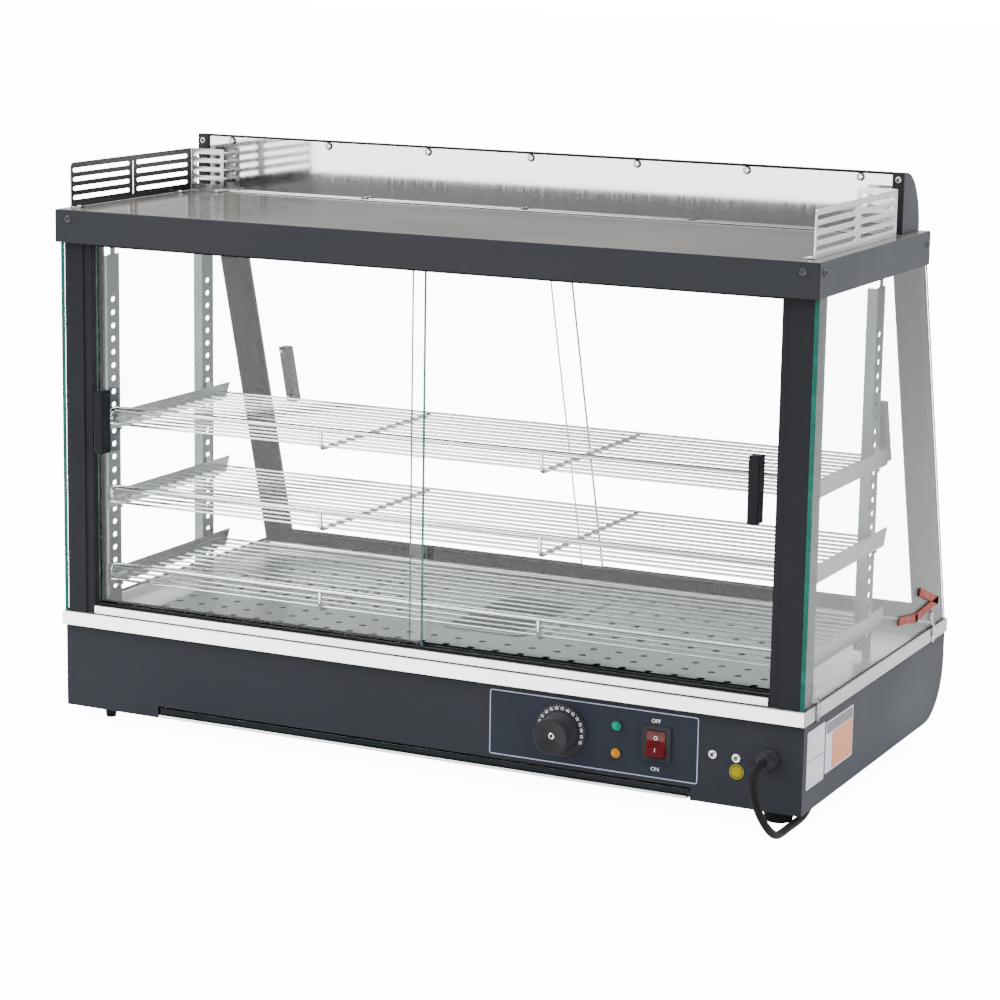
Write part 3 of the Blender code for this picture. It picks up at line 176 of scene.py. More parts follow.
add_lamp("key_lamp", (-2.4, -2.4, 2.6), (0, 0, 0.3), 2.0, 110)
add_lamp("top_lamp", (0.2, 0.6, 3.0), (0, 0, 0.5), 2.4, 70)
add_lamp("side_lamp", (3.0, -0.6, 1.6), (0.3, 0, 0.3), 1.8, 25)

# Rubber feet: narrow studs under the left end, wide tapered pads under the right end. Each is moulded
# rubber with a rounded sole edge, screwed up into the bottom plate.
foot_flare_shares = (0.80, 0.86, 0.93, 1.0, 1.0, 0.97)
foot_level_shares = (0.0, 0.04, 0.30, 0.60, 0.93, 1.0)
foot_sides = 32


def new_group(name, inputs):
    """Empty shader group with float inputs and the three outputs that every finish takes from it."""
    group = bpy.data.node_groups.new(name, "ShaderNodeTree")
    for label, value in inputs.items():
        group.interface.new_socket(label, in_out="INPUT",
                                   socket_type="NodeSocketFloat").default_value = value
    for label in ("Tone", "Gloss", "Height"):
        group.interface.new_socket(label, in_out="OUTPUT", socket_type="NodeSocketFloat")
    return group, group.nodes.new("NodeGroupInput"), group.nodes.new("NodeGroupOutput")


def add_noise(group, vector, scale, detail, low=0.35, high=0.65):
    """Noise over the surface, stretched so that it runs from zero to one."""
    noise = new_node(group, "ShaderNodeTexNoise", Detail=detail)
    group.links.new(vector, noise.inputs["Vector"])
    if isinstance(scale, float):
        noise.inputs["Scale"].default_value = scale
    else:
        group.links.new(scale, noise.inputs["Scale"])
    spread = new_node(group, "ShaderNodeMapRange", From_Min=low, From_Max=high)
    group.links.new(noise.outputs["Fac"], spread.inputs["Value"])
    return spread.outputs["Result"]


# Moulded and sprayed skins share this group: fine grain, soft clouds of handling, a few dust specks.
skin, skin_in, skin_out = new_group("fine_skin", {"Grain": 1100, "Clouds": 7, "Specks": 420})
skin_place = skin.nodes.new("ShaderNodeTexCoord").outputs["Object"]
skin_clouds = add_noise(skin, skin_place, skin_in.outputs["Clouds"], 3.0)
skin_specks = add_noise(skin, skin_place, skin_in.outputs["Specks"], 1.0, 0.70, 0.78)
skin_lighter = new_node(skin, "ShaderNodeMath", "MAXIMUM")
skin.links.new(skin_clouds, skin_lighter.inputs[0])
skin.links.new(skin_specks, skin_lighter.inputs[1])
skin.links.new(skin_lighter.outputs[0], skin_out.inputs["Tone"])
skin.links.new(skin_clouds, skin_out.inputs["Gloss"])
skin.links.new(add_noise(skin, skin_place, skin_in.outputs["Grain"], 1.0), skin_out.inputs["Height"])


def add_finish(name, group, values, colours, roughness, bump=0.0, depth=0.0002, **plain):
    """Principled finish: the group's masks mix two colours and two roughnesses, and raise a bump."""
    material = bpy.data.materials.new(name)
    material.use_nodes = True
    tree = material.node_tree
    shader = tree.nodes["Principled BSDF"]
    effect = tree.nodes.new("ShaderNodeGroup")
    effect.node_tree = group
    for label, value in values.items():
        effect.inputs[label].default_value = value
    tint = tree.nodes.new("ShaderNodeMix")
    tint.data_type = "RGBA"
    tint.inputs[6].default_value = (*colours[0], 1)
    tint.inputs[7].default_value = (*colours[1], 1)
    tree.links.new(effect.outputs["Tone"], tint.inputs[0])
    tree.links.new(tint.outputs[2], shader.inputs["Base Color"])
    gloss = new_node(tree, "ShaderNodeMapRange", To_Min=roughness[0], To_Max=roughness[1])
    tree.links.new(effect.outputs["Gloss"], gloss.inputs["Value"])
    tree.links.new(gloss.outputs["Result"], shader.inputs["Roughness"])
    if bump:
        relief = new_node(tree, "ShaderNodeBump", Strength=bump, Distance=depth)
        tree.links.new(effect.outputs["Height"], relief.inputs["Height"])
        tree.links.new(relief.outputs["Normal"], shader.inputs["Normal"])
    for label, value in plain.items():
        shader.inputs[label.replace("_", " ")].default_value = value
    return material


def mesh_of(shape, name, *materials):
    """Turn a bmesh into a mesh with its faces pointing out and its materials in place."""
    bmesh.ops.recalc_face_normals(shape, faces=shape.faces)
    mesh = bpy.data.meshes.new(name)
    shape.to_mesh(mesh)
    shape.free()
    for material in materials:
        mesh.materials.append(material)
    return mesh


def turned(profile, sides, axis="Z"):
    """Round mesh about one axis through the origin, from (radius, place along the axis) pairs."""
    shape = bmesh.new()
    rings = []
    for radius, level in profile:
        ring = []
        for side in range(sides if radius else 1):
            angle = math.tau * side / sides
            across, up = radius * math.cos(angle), radius * math.sin(angle)
            place = {"X": (level, across, up), "Y": (across, level, up), "Z": (across, up, level)}[axis]
            ring.append(shape.verts.new(place))
        rings.append(ring)
    for near, far in zip(rings, rings[1:]):
        for side in range(sides):
            after = (side + 1) % sides
            corners = [near[side % len(near)], near[after % len(near)], far[after % len(far)],
                       far[side % len(far)]]
            shape.faces.new(list(dict.fromkeys(corners)))
    mesh = mesh_of(shape, "turned")
    mesh.shade_smooth()
    mesh.set_sharp_from_angle(angle=0.6)
    return mesh


def moved(mesh, offset):
    """Mesh shifted in place."""
    mesh.transform(Matrix.Translation(offset))
    return mesh


def dressed(mesh, *materials):
    """Mesh with these materials in place of its own; its faces keep their numbers."""
    numbers = [polygon.material_index for polygon in mesh.polygons]
    mesh.materials.clear()
    for material in materials:
        mesh.materials.append(material)
    for polygon, number in zip(mesh.polygons, numbers):
        polygon.material_index = min(number, len(materials) - 1)
    return mesh


def add_piece(name, mesh, body, finish, *stands_for):
    """Object on its CAD body, hiding the CAD nodes that it stands for; the slot argument, finish, is not
    used.
    """
    piece = bpy.data.objects.new(name, mesh)
    bpy.context.scene.collection.objects.link(piece)
    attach(piece, body)
    if stands_for:
        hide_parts(*stands_for)
    return piece


def refinish(material, *names):
    """CAD nodes whose shape is right get a better material."""
    for name in names:
        for slot in nodes[name].material_slots:
            slot.material = material


rubber = add_finish(
    "foot_rubber", skin, {"Grain": 1500, "Clouds": 30},
    ((0.0035, 0.0035, 0.004), (0.0080, 0.0080, 0.0088)), (0.62, 0.78), 0.5, Specular_IOR_Level=0.10)
for name in ("foot_front_left", "foot_front_right", "foot_rear_left", "foot_rear_right"):
    low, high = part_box(name)
    radius = (high.x - low.x) / 2
    profile = [(0, 0)]
    for flare, level in zip(foot_flare_shares, foot_level_shares):
        profile.append((radius * flare, (high.z - low.z) * level))
    profile.append((0, high.z - low.z))
    mesh = moved(turned(profile, foot_sides), ((low.x + high.x) / 2, (low.y + high.y) / 2, low.z))
    add_piece(name + "_pad", dressed(mesh, rubber), "case", "black_rubber", name)

# Base casing: black sheet steel folded round three sides, with a curved customer side and a bottom
# plate. It is sprayed satin black, and its folds are softly rounded. The tray's notch is cut in front.
fold_radius = 0.0014
casing_sheet = 0.0012
rear_curve = 0.062
curve_steps = 12
notch_half = 0.325
notch_top = 0.0315
lamp_centre_x = 0.2407
lamp_levels = (0.0868, 0.0571)
switch_middle = (0.2867, 0.0735)
switch_hole = (0.0138, 0.0161)
lamp_hole = 0.0051
shaft_hole = 0.0034
gland_hole = 0.0078
crease = 0.62
knob_middle = (0.1775, 0.0730)
gland_middle = (0.4110, 0.0745)


def prism(outline, axis, low, high):
    """Closed prism: the outline's two coordinates are the other two axes, in X, Y, Z order."""
    shape = bmesh.new()
    ends = []
    for level in (low, high):
        if axis == "X":
            places = [(level, first, second) for first, second in outline]
        elif axis == "Y":
            places = [(first, level, second) for first, second in outline]
        else:
            places = [(first, second, level) for first, second in outline]
        ends.append([shape.verts.new(place) for place in places])
    shape.faces.new(ends[0])
    shape.faces.new(ends[1])
    for index in range(len(outline)):
        after = (index + 1) % len(outline)
        shape.faces.new((ends[0][index], ends[0][after], ends[1][after], ends[1][index]))
    return mesh_of(shape, "prism")


def block(low, high):
    """Box between two corners."""
    return prism([(low[0], low[1]), (high[0], low[1]), (high[0], high[1]), (low[0], high[1])], "Z",
                 low[2], high[2])


def joined(meshes):
    """One mesh that holds several separate shells."""
    shape = bmesh.new()
    for mesh in meshes:
        shape.from_mesh(mesh)
    mesh = bpy.data.meshes.new("joined")
    shape.to_mesh(mesh)
    shape.free()
    for material in meshes[0].materials:
        mesh.materials.append(material)
    return mesh


def shaped(source, *steps):
    """Mesh made from a mesh or a curve by the given modifiers, each a type and its settings."""
    holder = bpy.data.objects.new("work", source)
    bpy.context.scene.collection.objects.link(holder)
    for kind, settings in steps:
        modifier = holder.modifiers.new(kind, kind)
        for label, value in settings.items():
            setattr(modifier, label, value)
    result = bpy.data.meshes.new_from_object(holder.evaluated_get(bpy.context.evaluated_depsgraph_get()))
    bpy.data.objects.remove(holder)
    return result


def cut(mesh, tools):
    """Mesh with separate tools cut out of it."""
    tool = bpy.data.objects.new("work_tool", joined(tools))
    bpy.context.scene.collection.objects.link(tool)
    result = shaped(mesh, ("BOOLEAN", {"operation": "DIFFERENCE", "solver": "EXACT", "object": tool}))
    bpy.data.objects.remove(tool)
    return result


def rounded(mesh, width, chosen=None, segments=3):
    """Mesh with its sharp edges, or only the chosen ones, rounded off and shaded to match."""
    shape = bmesh.new()
    shape.from_mesh(mesh)
    bmesh.ops.remove_doubles(shape, verts=shape.verts, dist=1e-6)
    bmesh.ops.dissolve_limit(shape, angle_limit=0.01, verts=shape.verts, edges=shape.edges)
    weight = shape.edges.layers.float.new("bevel_weight_edge")
    for edge in shape.edges:
        if len(edge.link_faces) != 2 or edge.calc_face_angle() < 0.6:
            continue
        if chosen is None or chosen((edge.verts[0].co + edge.verts[1].co) / 2):
            edge[weight] = 1
    result = mesh_of(shape, "rounded", *mesh.materials)
    result.shade_smooth()
    result = shaped(result, ("BEVEL", {"width": width, "segments": segments, "limit_method": "WEIGHT"}))
    result.set_sharp_from_angle(angle=crease)
    return shaped(result, ("WEIGHTED_NORMAL", {"keep_sharp": True, "weight": 80}))


def rounded_node(node, width, material, chosen=None, segments=3):
    """Copy of a CAD node's mesh with its edges rounded."""
    return dressed(rounded(nodes[node].data, width, chosen, segments), material)


def rod(place, radius, low, high, sides=24):
    """Round rod along Y, as a tool for holes."""
    return moved(turned([(0, low), (radius, low), (radius, high), (0, high)], sides, "Y"),
                 (place[0], 0, place[1]))


satin_black = add_finish(
    "satin_black_paint", skin, {"Grain": 1300, "Clouds": 5, "Specks": 300},
    ((0.0120, 0.0130, 0.0164), (0.0152, 0.0163, 0.0202)), (0.40, 0.48), 0.12, 0.00005,
    Specular_IOR_Level=0.07)
base_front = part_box("base_front_panel")[0].y
side_low, side_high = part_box("base_side_right")
curve_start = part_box("base_rear_panel")[1].y - rear_curve
profile = [(side_low.y, side_low.z), (side_low.y, side_high.z), (side_high.y, side_high.z)]
for step in range(curve_steps + 1):
    angle = -math.pi / 2 * step / curve_steps
    profile.append((curve_start + rear_curve * math.cos(angle),
                    side_low.z + rear_curve * (1 + math.sin(angle))))
shape = bmesh.new()
shape.from_mesh(prism(profile, "X", -side_high.x, side_high.x))
lid = [face for face in shape.faces if face.normal.z > 0.9]
bmesh.ops.delete(shape, geom=lid, context="FACES_ONLY")
casing = mesh_of(shape, "casing", satin_black)


def on_front_corner(middle):
    """Whether an edge is one of the casing's two upright front folds."""
    return middle.y < base_front + 0.001 and abs(middle.x) > 0.4


casing = rounded(casing, fold_radius, on_front_corner, 5)
casing = shaped(casing, ("SOLIDIFY", {"thickness": casing_sheet, "offset": -1, "use_even_offset": True}))
reach = (base_front - 0.01, base_front + 0.01)


def control_holes():
    """Tools for the holes that the front panel and its printed film share."""
    holes = [rod(knob_middle, shaft_hole, *reach)]
    holes += [rod((lamp_centre_x, level), lamp_hole, *reach) for level in lamp_levels]
    low, high = [(switch_middle[0] + side * switch_hole[0], reach[side > 0],
                  switch_middle[1] + side * switch_hole[1]) for side in (-1, 1)]
    holes.append(block(low, high))
    return holes


notch = block((-notch_half, reach[0], side_low.z - 0.01), (notch_half, reach[1], notch_top))
casing = cut(casing, [notch, rod(gland_middle, gland_hole, *reach), *control_holes()])
casing.set_sharp_from_angle(angle=crease)
casing = shaped(casing, ("WEIGHTED_NORMAL", {"keep_sharp": True, "weight": 80}))
add_piece("base_casing", casing, "case", "black_paint", "base_front_panel", "base_side_left",
          "base_side_right", "base_rear_panel", "base_bottom_plate")

# Heat chamber: an open stainless tray under the deck, with two hairpin elements sheathed in steel that
# has blued with heat, one each side of the water pan. The elements pass through the tray's front.
lines, lines_in, lines_out = new_group(
    "brushed_lines", {"Along X": 6, "Along Y": 900, "Along Z": 900, "Clouds": 5})
lines_place = lines.nodes.new("ShaderNodeTexCoord").outputs["Object"]
lines_stretch = lines.nodes.new("ShaderNodeCombineXYZ")
for axis in "XYZ":
    lines.links.new(lines_in.outputs[f"Along {axis}"], lines_stretch.inputs[axis])
lines_laid = new_node(lines, "ShaderNodeVectorMath", "MULTIPLY")
lines.links.new(lines_place, lines_laid.inputs[0])
lines.links.new(lines_stretch.outputs[0], lines_laid.inputs[1])
line_mask = add_noise(lines, lines_laid.outputs[0], 1.0, 2.0, 0.30, 0.70)
line_clouds = add_noise(lines, lines_place, lines_in.outputs["Clouds"], 3.0)
line_blend = new_node(lines, "ShaderNodeMath", "MULTIPLY_ADD", _1=0.5)
lines.links.new(line_clouds, line_blend.inputs[0])
line_half = new_node(lines, "ShaderNodeMath", "MULTIPLY", _1=0.5)
lines.links.new(line_mask, line_half.inputs[0])
lines.links.new(line_half.outputs[0], line_blend.inputs[2])
lines.links.new(line_blend.outputs[0], lines_out.inputs["Tone"])
lines.links.new(line_mask, lines_out.inputs["Gloss"])
lines.links.new(line_mask, lines_out.inputs["Height"])

# Steel darkened to near black: painted shade, for the tray under the deck and for the walls of the floor's
# punched holes.
shade_dark_steel = add_finish(
    "shade_dark_steel", lines, {"Clouds": 9}, ((0.012, 0.012, 0.012), (0.030, 0.028, 0.026)), (0.38, 0.52),
    0.15, Metallic=1.0)
blued_steel = add_finish(
    "blued_steel", skin, {"Grain": 500, "Clouds": 26}, ((0.16, 0.13, 0.13), (0.30, 0.26, 0.22)),
    (0.35, 0.55), 0.3, Metallic=1.0)
shield = rounded_node("heat_shield", 0.0003, shade_dark_steel, None, 2)
add_piece("heat_chamber_tray", shield, "case", "stainless", "heat_shield")
refinish(blued_steel, "heating_element_left", "heating_element_right")

# Crumb tray: a shallow stainless tray behind the notch. Its front lip is hemmed up into a bright bar
# that shows below the front wall, whose near-black steel is painted shade.
tray_low, tray_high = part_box("crumb_tray")
hem_height = 0.0030
hem_depth = 0.0022
tray_sheet = 0.0011
bright_steel = add_finish(
    "bright_brushed_steel", lines, {"Along X": 5}, ((0.70, 0.69, 0.67), (0.86, 0.85, 0.83)),
    (0.20, 0.34), 0.10, 0.0001, Metallic=1.0)
shaded_steel = add_finish(
    "shaded_tray_front", lines, {"Along X": 5}, ((0.006, 0.008, 0.009), (0.014, 0.016, 0.018)),
    (0.28, 0.40), 0.10, 0.0001, Metallic=1.0)
tray = rounded_node("crumb_tray", 0.0002, bright_steel, None, 2)
tray.materials.append(shaded_steel)
# Faces of the front wall above the bottom sheet take the near-black steel: painted shade.
for face in tray.polygons:
    at_front = face.normal.y < -0.9 and face.center.y < base_front + 0.003
    if at_front and face.center.z > tray_low.z + tray_sheet:
        face.material_index = 1
hem = rounded(block(tray_low, (tray_high.x, tray_low.y + hem_depth, tray_low.z + hem_height)), 0.0006)
add_piece("crumb_tray_body_sheet", tray, "crumb_tray_body", "stainless", "crumb_tray")
add_piece("crumb_tray_lip", dressed(hem, bright_steel), "crumb_tray_body", "stainless")

# Trim deck: one stainless pressing, brushed along its length. A bright skirt hides the base's top
# edge, a ledge carries the cabinet, and a lower deck surrounds the heat opening. The corners are
# welded, and show a fine dark seam.
skirt_radius = 0.0013
deck_low, deck_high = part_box("deck_plate")
seam_width = 0.00035
seam_inset = 0.0005
touching = 0.0002
trim_steel = add_finish(
    "trim_steel", lines, {"Along X": 4, "Along Y": 1100, "Along Z": 1100},
    ((0.76, 0.75, 0.73), (0.90, 0.89, 0.87)), (0.22, 0.36), 0.12, 0.0001, Metallic=1.0)
# A darker copy of the trim steel for the trim's two ends: painted shade on the sides.
side_trim_shade_steel = add_finish(
    "side_trim_shade_steel", lines, {"Along X": 1100, "Along Y": 5, "Along Z": 1100},
    ((0.33, 0.335, 0.345), (0.46, 0.465, 0.475)), (0.26, 0.40), 0.12, 0.0001, Metallic=1.0)


def on_trim_rim(middle):
    """Whether an edge lies on the outer rim of the trim's top, or on one of its upright corners."""
    near_x = min(abs(middle.x - deck_low.x), abs(middle.x - deck_high.x)) < touching
    near_y = min(abs(middle.y - deck_low.y), abs(middle.y - deck_high.y)) < touching
    near_top = abs(middle.z - deck_high.z) < touching
    return near_top and (near_x or near_y) or near_x and near_y


deck = rounded_node("deck_plate", skirt_radius, trim_steel, on_trim_rim, 4)
deck.materials.append(side_trim_shade_steel)
for face in deck.polygons:
    if abs(face.normal.x) > 0.7 and abs(face.center.x) > deck_high.x - 0.002:
        face.material_index = 1
add_piece("trim_deck", deck, "case", "stainless", "deck_plate")
seam_dark = add_finish(
    "seam_dark", skin, {"Grain": 900}, ((0.010, 0.010, 0.010), (0.03, 0.03, 0.03)), (0.5, 0.7))
seams = []
for x_side in (-1, 1):
    corner = Vector((x_side * (deck_high.x - seam_inset), deck_low.y + seam_inset, 0))
    seam = turned([(0, deck_low.z + 0.0004), (seam_width, deck_low.z + 0.0006),
                   (seam_width, deck_high.z - 0.0016), (0, deck_high.z - 0.0013)], 8)
    seams.append(moved(seam, corner))
add_piece("trim_corner_seams", dressed(joined(seams), seam_dark), "case", "stainless")

# Perforated floor: a loose stainless plate over the heat opening, punched with rows of round holes that
# let the warm, moist air rise, and with a round-cornered cut-out that the water pan hangs in.
hole_radius = 0.0045
hole_sides = 14
hole_column_pitch = 0.0304
hole_row_pitch = 0.0298
hole_columns = 25
hole_rows = 12
hole_middle_x = -0.0073
first_row_y = -0.1581
bare_x = (-0.115, 0.100)
bare_y = (-0.080, 0.125)
pan_corner = 0.014
pan_lip = 0.0057


def rounded_outline(low, high, radius, steps=6):
    """Rectangle with round corners, as a list of points."""
    centres = [(high[0] - radius, high[1] - radius, 0), (low[0] + radius, high[1] - radius, 1),
               (low[0] + radius, low[1] + radius, 2), (high[0] - radius, low[1] + radius, 3)]
    points = []
    for first, second, quarter in centres:
        for step in range(steps + 1):
            angle = (quarter + step / steps) * math.pi / 2
            points.append((first + radius * math.cos(angle), second + radius * math.sin(angle)))
    return points


floor_low, floor_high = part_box("perforated_floor")
pan_low, pan_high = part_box("water_pan")
punch = (floor_low.z - 0.002, floor_high.z + 0.002)
holes = []
for row in range(hole_rows):
    for column in range(hole_columns):
        x = (column - (hole_columns - 1) / 2) * hole_column_pitch + hole_middle_x
        y = first_row_y + row * hole_row_pitch
        if bare_x[0] < x < bare_x[1] and bare_y[0] < y < bare_y[1]:
            continue
        hole = turned([(0, punch[0]), (hole_radius, punch[0]), (hole_radius, punch[1]), (0, punch[1])],
                      hole_sides)
        holes.append(moved(hole, (x, y, 0)))
pan_outline = rounded_outline((pan_low.x + pan_lip, pan_low.y + pan_lip),
                              (pan_high.x - pan_lip, pan_high.y - pan_lip), pan_corner)
holes.append(prism(pan_outline, "Z", *punch))
floor_steel = add_finish(
    "floor_steel", lines, {"Along X": 4, "Clouds": 6}, ((0.29, 0.305, 0.31), (0.42, 0.435, 0.44)),
    (0.26, 0.42), 0.12, 0.0001, Metallic=1.0)
plate = cut(block(floor_low, floor_high), holes)
# The walls of the holes, and the plate's edges, take the near-black steel: painted shade.
for polygon in plate.polygons:
    polygon.material_index = int(abs(polygon.normal.z) < 0.5)
dressed(plate, floor_steel, shade_dark_steel)
add_piece("floor_plate", plate, "perforated_floor_body", "stainless", "perforated_floor")
pan = rounded_node("water_pan", 0.0004, floor_steel, None, 2)
add_piece("humidity_pan", pan, "water_pan_body", "stainless", "water_pan")

# Control overlay: a thin printed film on the base's front, blue-black, with a pale line frame with
# rounded corners. OFF is printed above the switch, ON below it. The rest of the film is left bare.
film_low = (0.0926, 0.0360)
film_high = (0.3330, 0.1075)
film_corner = 0.0030
film_sheet = 0.00012
line_width = 0.0011
line_sheet = 0.00006
letter_height = 0.0043
font_share = 1.4
word_places = (("OFF", 0.2852, 0.0973), ("ON", 0.2850, 0.0455))
film_paint = add_finish(
    "film_paint", skin, {"Grain": 700, "Clouds": 12},
    ((0.0085, 0.0105, 0.016), (0.012, 0.0145, 0.021)), (0.34, 0.42), 0.08, 0.00004,
    Specular_IOR_Level=0.08)
frame_ink = add_finish(
    "frame_ink", skin, {"Grain": 900, "Clouds": 30}, ((0.20, 0.23, 0.34), (0.27, 0.30, 0.42)),
    (0.35, 0.45))
white_ink = add_finish(
    "white_ink", skin, {"Grain": 1200, "Clouds": 60}, ((0.52, 0.54, 0.58), (0.70, 0.72, 0.75)),
    (0.40, 0.55))


def lettering(text, height, sheet):
    """Printed text as a thin mesh that faces the operator, its middle at the origin."""
    curve = bpy.data.curves.new("lettering", "FONT")
    curve.body = text
    curve.size = height * font_share
    curve.extrude = sheet
    curve.align_x = "CENTER"
    curve.align_y = "CENTER"
    mesh = shaped(curve)
    mesh.transform(Matrix.Rotation(math.pi / 2, 4, "X"))
    mesh.materials.clear()
    return mesh


film_front = base_front - film_sheet
outer = rounded_outline(film_low, film_high, film_corner)
inner = rounded_outline([value + line_width for value in film_low],
                        [value - line_width for value in film_high], film_corner - line_width)
film = cut(prism(outer, "Y", film_front, base_front - 0.00001), control_holes())
add_piece("control_film", dressed(film, film_paint), "case", "black_paint")
line_frame = cut(prism(outer, "Y", film_front - line_sheet, film_front),
                 [prism(inner, "Y", film_front - 0.001, film_front + 0.001)])
add_piece("control_line_frame", dressed(line_frame, frame_ink), "case", "black_paint")
words = joined([moved(lettering(word, letter_height, line_sheet), (x, film_front - line_sheet, z))
                for word, x, z in word_places])
add_piece("switch_words", dressed(words, white_ink), "case", "white_ceramic")

# Thermostat: an aluminium body behind the panel with a capillary bulb in the heat chamber, and a black
# moulded knob. The knob's skirt carries the dial's numbers, and its dished grip has a small bright cap.
knob_low, knob_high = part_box("thermostat_knob")
skirt_front = base_front - 0.0043
dial_numbers = range(30, 95, 5)
dial_first_angle = math.radians(162)
dial_sweep = math.radians(-184)
dial_radius = 0.0247
number_height = 0.0032
tick_radius = 0.0266
tick_half = 0.00012
tick_lengths = (0.0013, 0.0008)
cap_radius = 0.0034
knob_sides = 96
tick_count = 25
cast_aluminium = add_finish(
    "cast_aluminium", skin, {"Grain": 500, "Clouds": 40}, ((0.45, 0.46, 0.47), (0.60, 0.61, 0.62)),
    (0.35, 0.5), 0.3, Metallic=1.0)
bright_plate = add_finish(
    "bright_plate", skin, {"Grain": 400, "Clouds": 60}, ((0.72, 0.73, 0.74), (0.85, 0.86, 0.87)),
    (0.12, 0.24), 0.05, Metallic=1.0)
moulded_black = add_finish(
    "moulded_black", skin, {"Grain": 1600, "Clouds": 24, "Specks": 500},
    ((0.0065, 0.0070, 0.0080), (0.0105, 0.0110, 0.0125)), (0.36, 0.48), 0.18, 0.00006,
    Specular_IOR_Level=0.12)
refinish(cast_aluminium, "thermostat_body")
refinish(bright_plate, "thermostat_probe")
face = knob_low.y
knob_profile = [(0, face + 0.0042), (0.0040, face + 0.0040), (0.0100, face + 0.0026),
                (0.0142, face + 0.0012), (0.0174, face + 0.0003), (0.0186, face),
                (0.0196, face + 0.0006), (0.0200, face + 0.0018), (0.0204, skirt_front - 0.0030),
                (0.0205, skirt_front - 0.0012), (0.0214, skirt_front), (0.0276, skirt_front + 0.0002),
                (0.0287, skirt_front + 0.0010), (0.0290, skirt_front + 0.0024),
                (0.0290, base_front - 0.0004), (0.0030, base_front - 0.0004), (0.0030, knob_high.y),
                (0, knob_high.y)]
knob = moved(turned(knob_profile, knob_sides, "Y"), (knob_middle[0], 0, knob_middle[1]))
add_piece("knob_moulding", dressed(knob, moulded_black), "thermostat_knob_body", "black_plastic",
          "thermostat_knob")
cap_front = face + 0.0030
cap = turned([(0, cap_front + 0.0002), (cap_radius * 0.35, cap_front + 0.0002),
              (cap_radius * 0.42, cap_front), (cap_radius * 0.58, cap_front + 0.0004),
              (cap_radius * 0.80, cap_front + 0.0001), (cap_radius, cap_front + 0.0006),
              (cap_radius, cap_front + 0.0013), (0, cap_front + 0.0013)], 28, "Y")
for polygon in cap.polygons:
    if math.hypot(polygon.center.x, polygon.center.z) < cap_radius * 0.5:
        polygon.material_index = 1
moved(dressed(cap, bright_plate, moulded_black), (knob_middle[0], 0, knob_middle[1]))
add_piece("knob_cap", cap, "thermostat_knob_body", "chrome")
marks = []
for index, number in enumerate(dial_numbers):
    angle = dial_first_angle + dial_sweep * index / (len(dial_numbers) - 1)
    mark = lettering(str(number), number_height, line_sheet)
    mark.transform(Matrix.Rotation(math.pi / 2 - angle, 4, "Y"))
    marks.append(moved(mark, (knob_middle[0] + dial_radius * math.cos(angle), skirt_front,
                              knob_middle[1] + dial_radius * math.sin(angle))))
for index in range(tick_count):
    angle = dial_first_angle + dial_sweep * index / (tick_count - 1)
    tick = block((-tick_half, skirt_front - line_sheet, tick_radius),
                 (tick_half, skirt_front + 0.0003, tick_radius + tick_lengths[index % 2]))
    tick.transform(Matrix.Rotation(math.pi / 2 - angle, 4, "Y"))
    marks.append(moved(tick, (knob_middle[0], 0, knob_middle[1])))
add_piece("dial_marks", dressed(joined(marks), white_ink), "thermostat_knob_body", "white_ceramic")

# Pilot lamps: moulded lenses with eight facets, green over amber, in thin black rings. They are lit
# from behind, so each glows a little in its own colour.
lens_lobes = 8
lens_radius = 0.0052
lobe_depth = 0.13
ring_inner = 0.0053
ring_outer = 0.0066


def lens_mesh(radius, front, back):
    """Domed lens with lobed facets, about Y."""
    mesh = turned([(0, front), (radius * 0.30, front + 0.0003), (radius * 0.62, front + 0.0012),
                   (radius * 0.88, front + 0.0028), (radius, front + 0.0044),
                   (radius * 0.92, front + 0.0046), (radius * 0.92, back), (0, back)],
                  lens_lobes * 4, "Y")
    for vertex in mesh.vertices:
        if vertex.co.y < front + 0.0040:
            wave = math.cos(lens_lobes * math.atan2(vertex.co.z, vertex.co.x))
            lobe = 1 - lobe_depth * (0.5 - 0.5 * wave)
            vertex.co.x *= lobe
            vertex.co.z *= lobe
    return mesh


green_lens = add_finish(
    "green_lens", skin, {"Grain": 300, "Clouds": 300}, ((0.001, 0.066, 0.044), (0.004, 0.155, 0.104)),
    (0.12, 0.24), Specular_IOR_Level=0.12)
amber_lens = add_finish(
    "amber_lens", skin, {"Grain": 300, "Clouds": 300}, ((0.22, 0.080, 0.0015), (0.35, 0.150, 0.006)),
    (0.12, 0.24), Specular_IOR_Level=0.12)


def light_up(material, glow, strength):
    """Finish that glows a little in a colour of its own."""
    shader = material.node_tree.nodes["Principled BSDF"]
    shader.inputs["Emission Color"].default_value = (*glow, 1)
    shader.inputs["Emission Strength"].default_value = strength


light_up(green_lens, (0.02, 0.60, 0.36), 0.115)
light_up(amber_lens, (1.0, 0.45, 0.03), 0.115)
for node, level, material, slot_name in (("power_lamp", lamp_levels[0], green_lens, "green_plastic"),
                                         ("heat_lamp", lamp_levels[1], amber_lens, "amber_plastic")):
    low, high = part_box(node)
    lens = moved(lens_mesh(lens_radius, low.y, high.y), (lamp_centre_x, 0, level))
    add_piece(node + "_lens", dressed(lens, material), "case", slot_name, node)
    ring_front, ring_back = base_front - 0.0018, base_front - 0.0003
    ring = turned([(ring_inner, ring_front), (0.0061, ring_front - 0.0001),
                   (ring_outer, ring_front + 0.0005), (ring_outer, ring_back), (ring_inner, ring_back),
                   (ring_inner, ring_front)], 32, "Y")
    moved(ring, (lamp_centre_x, 0, level))
    add_piece(node + "_ring", dressed(ring, moulded_black), "case", "black_plastic")

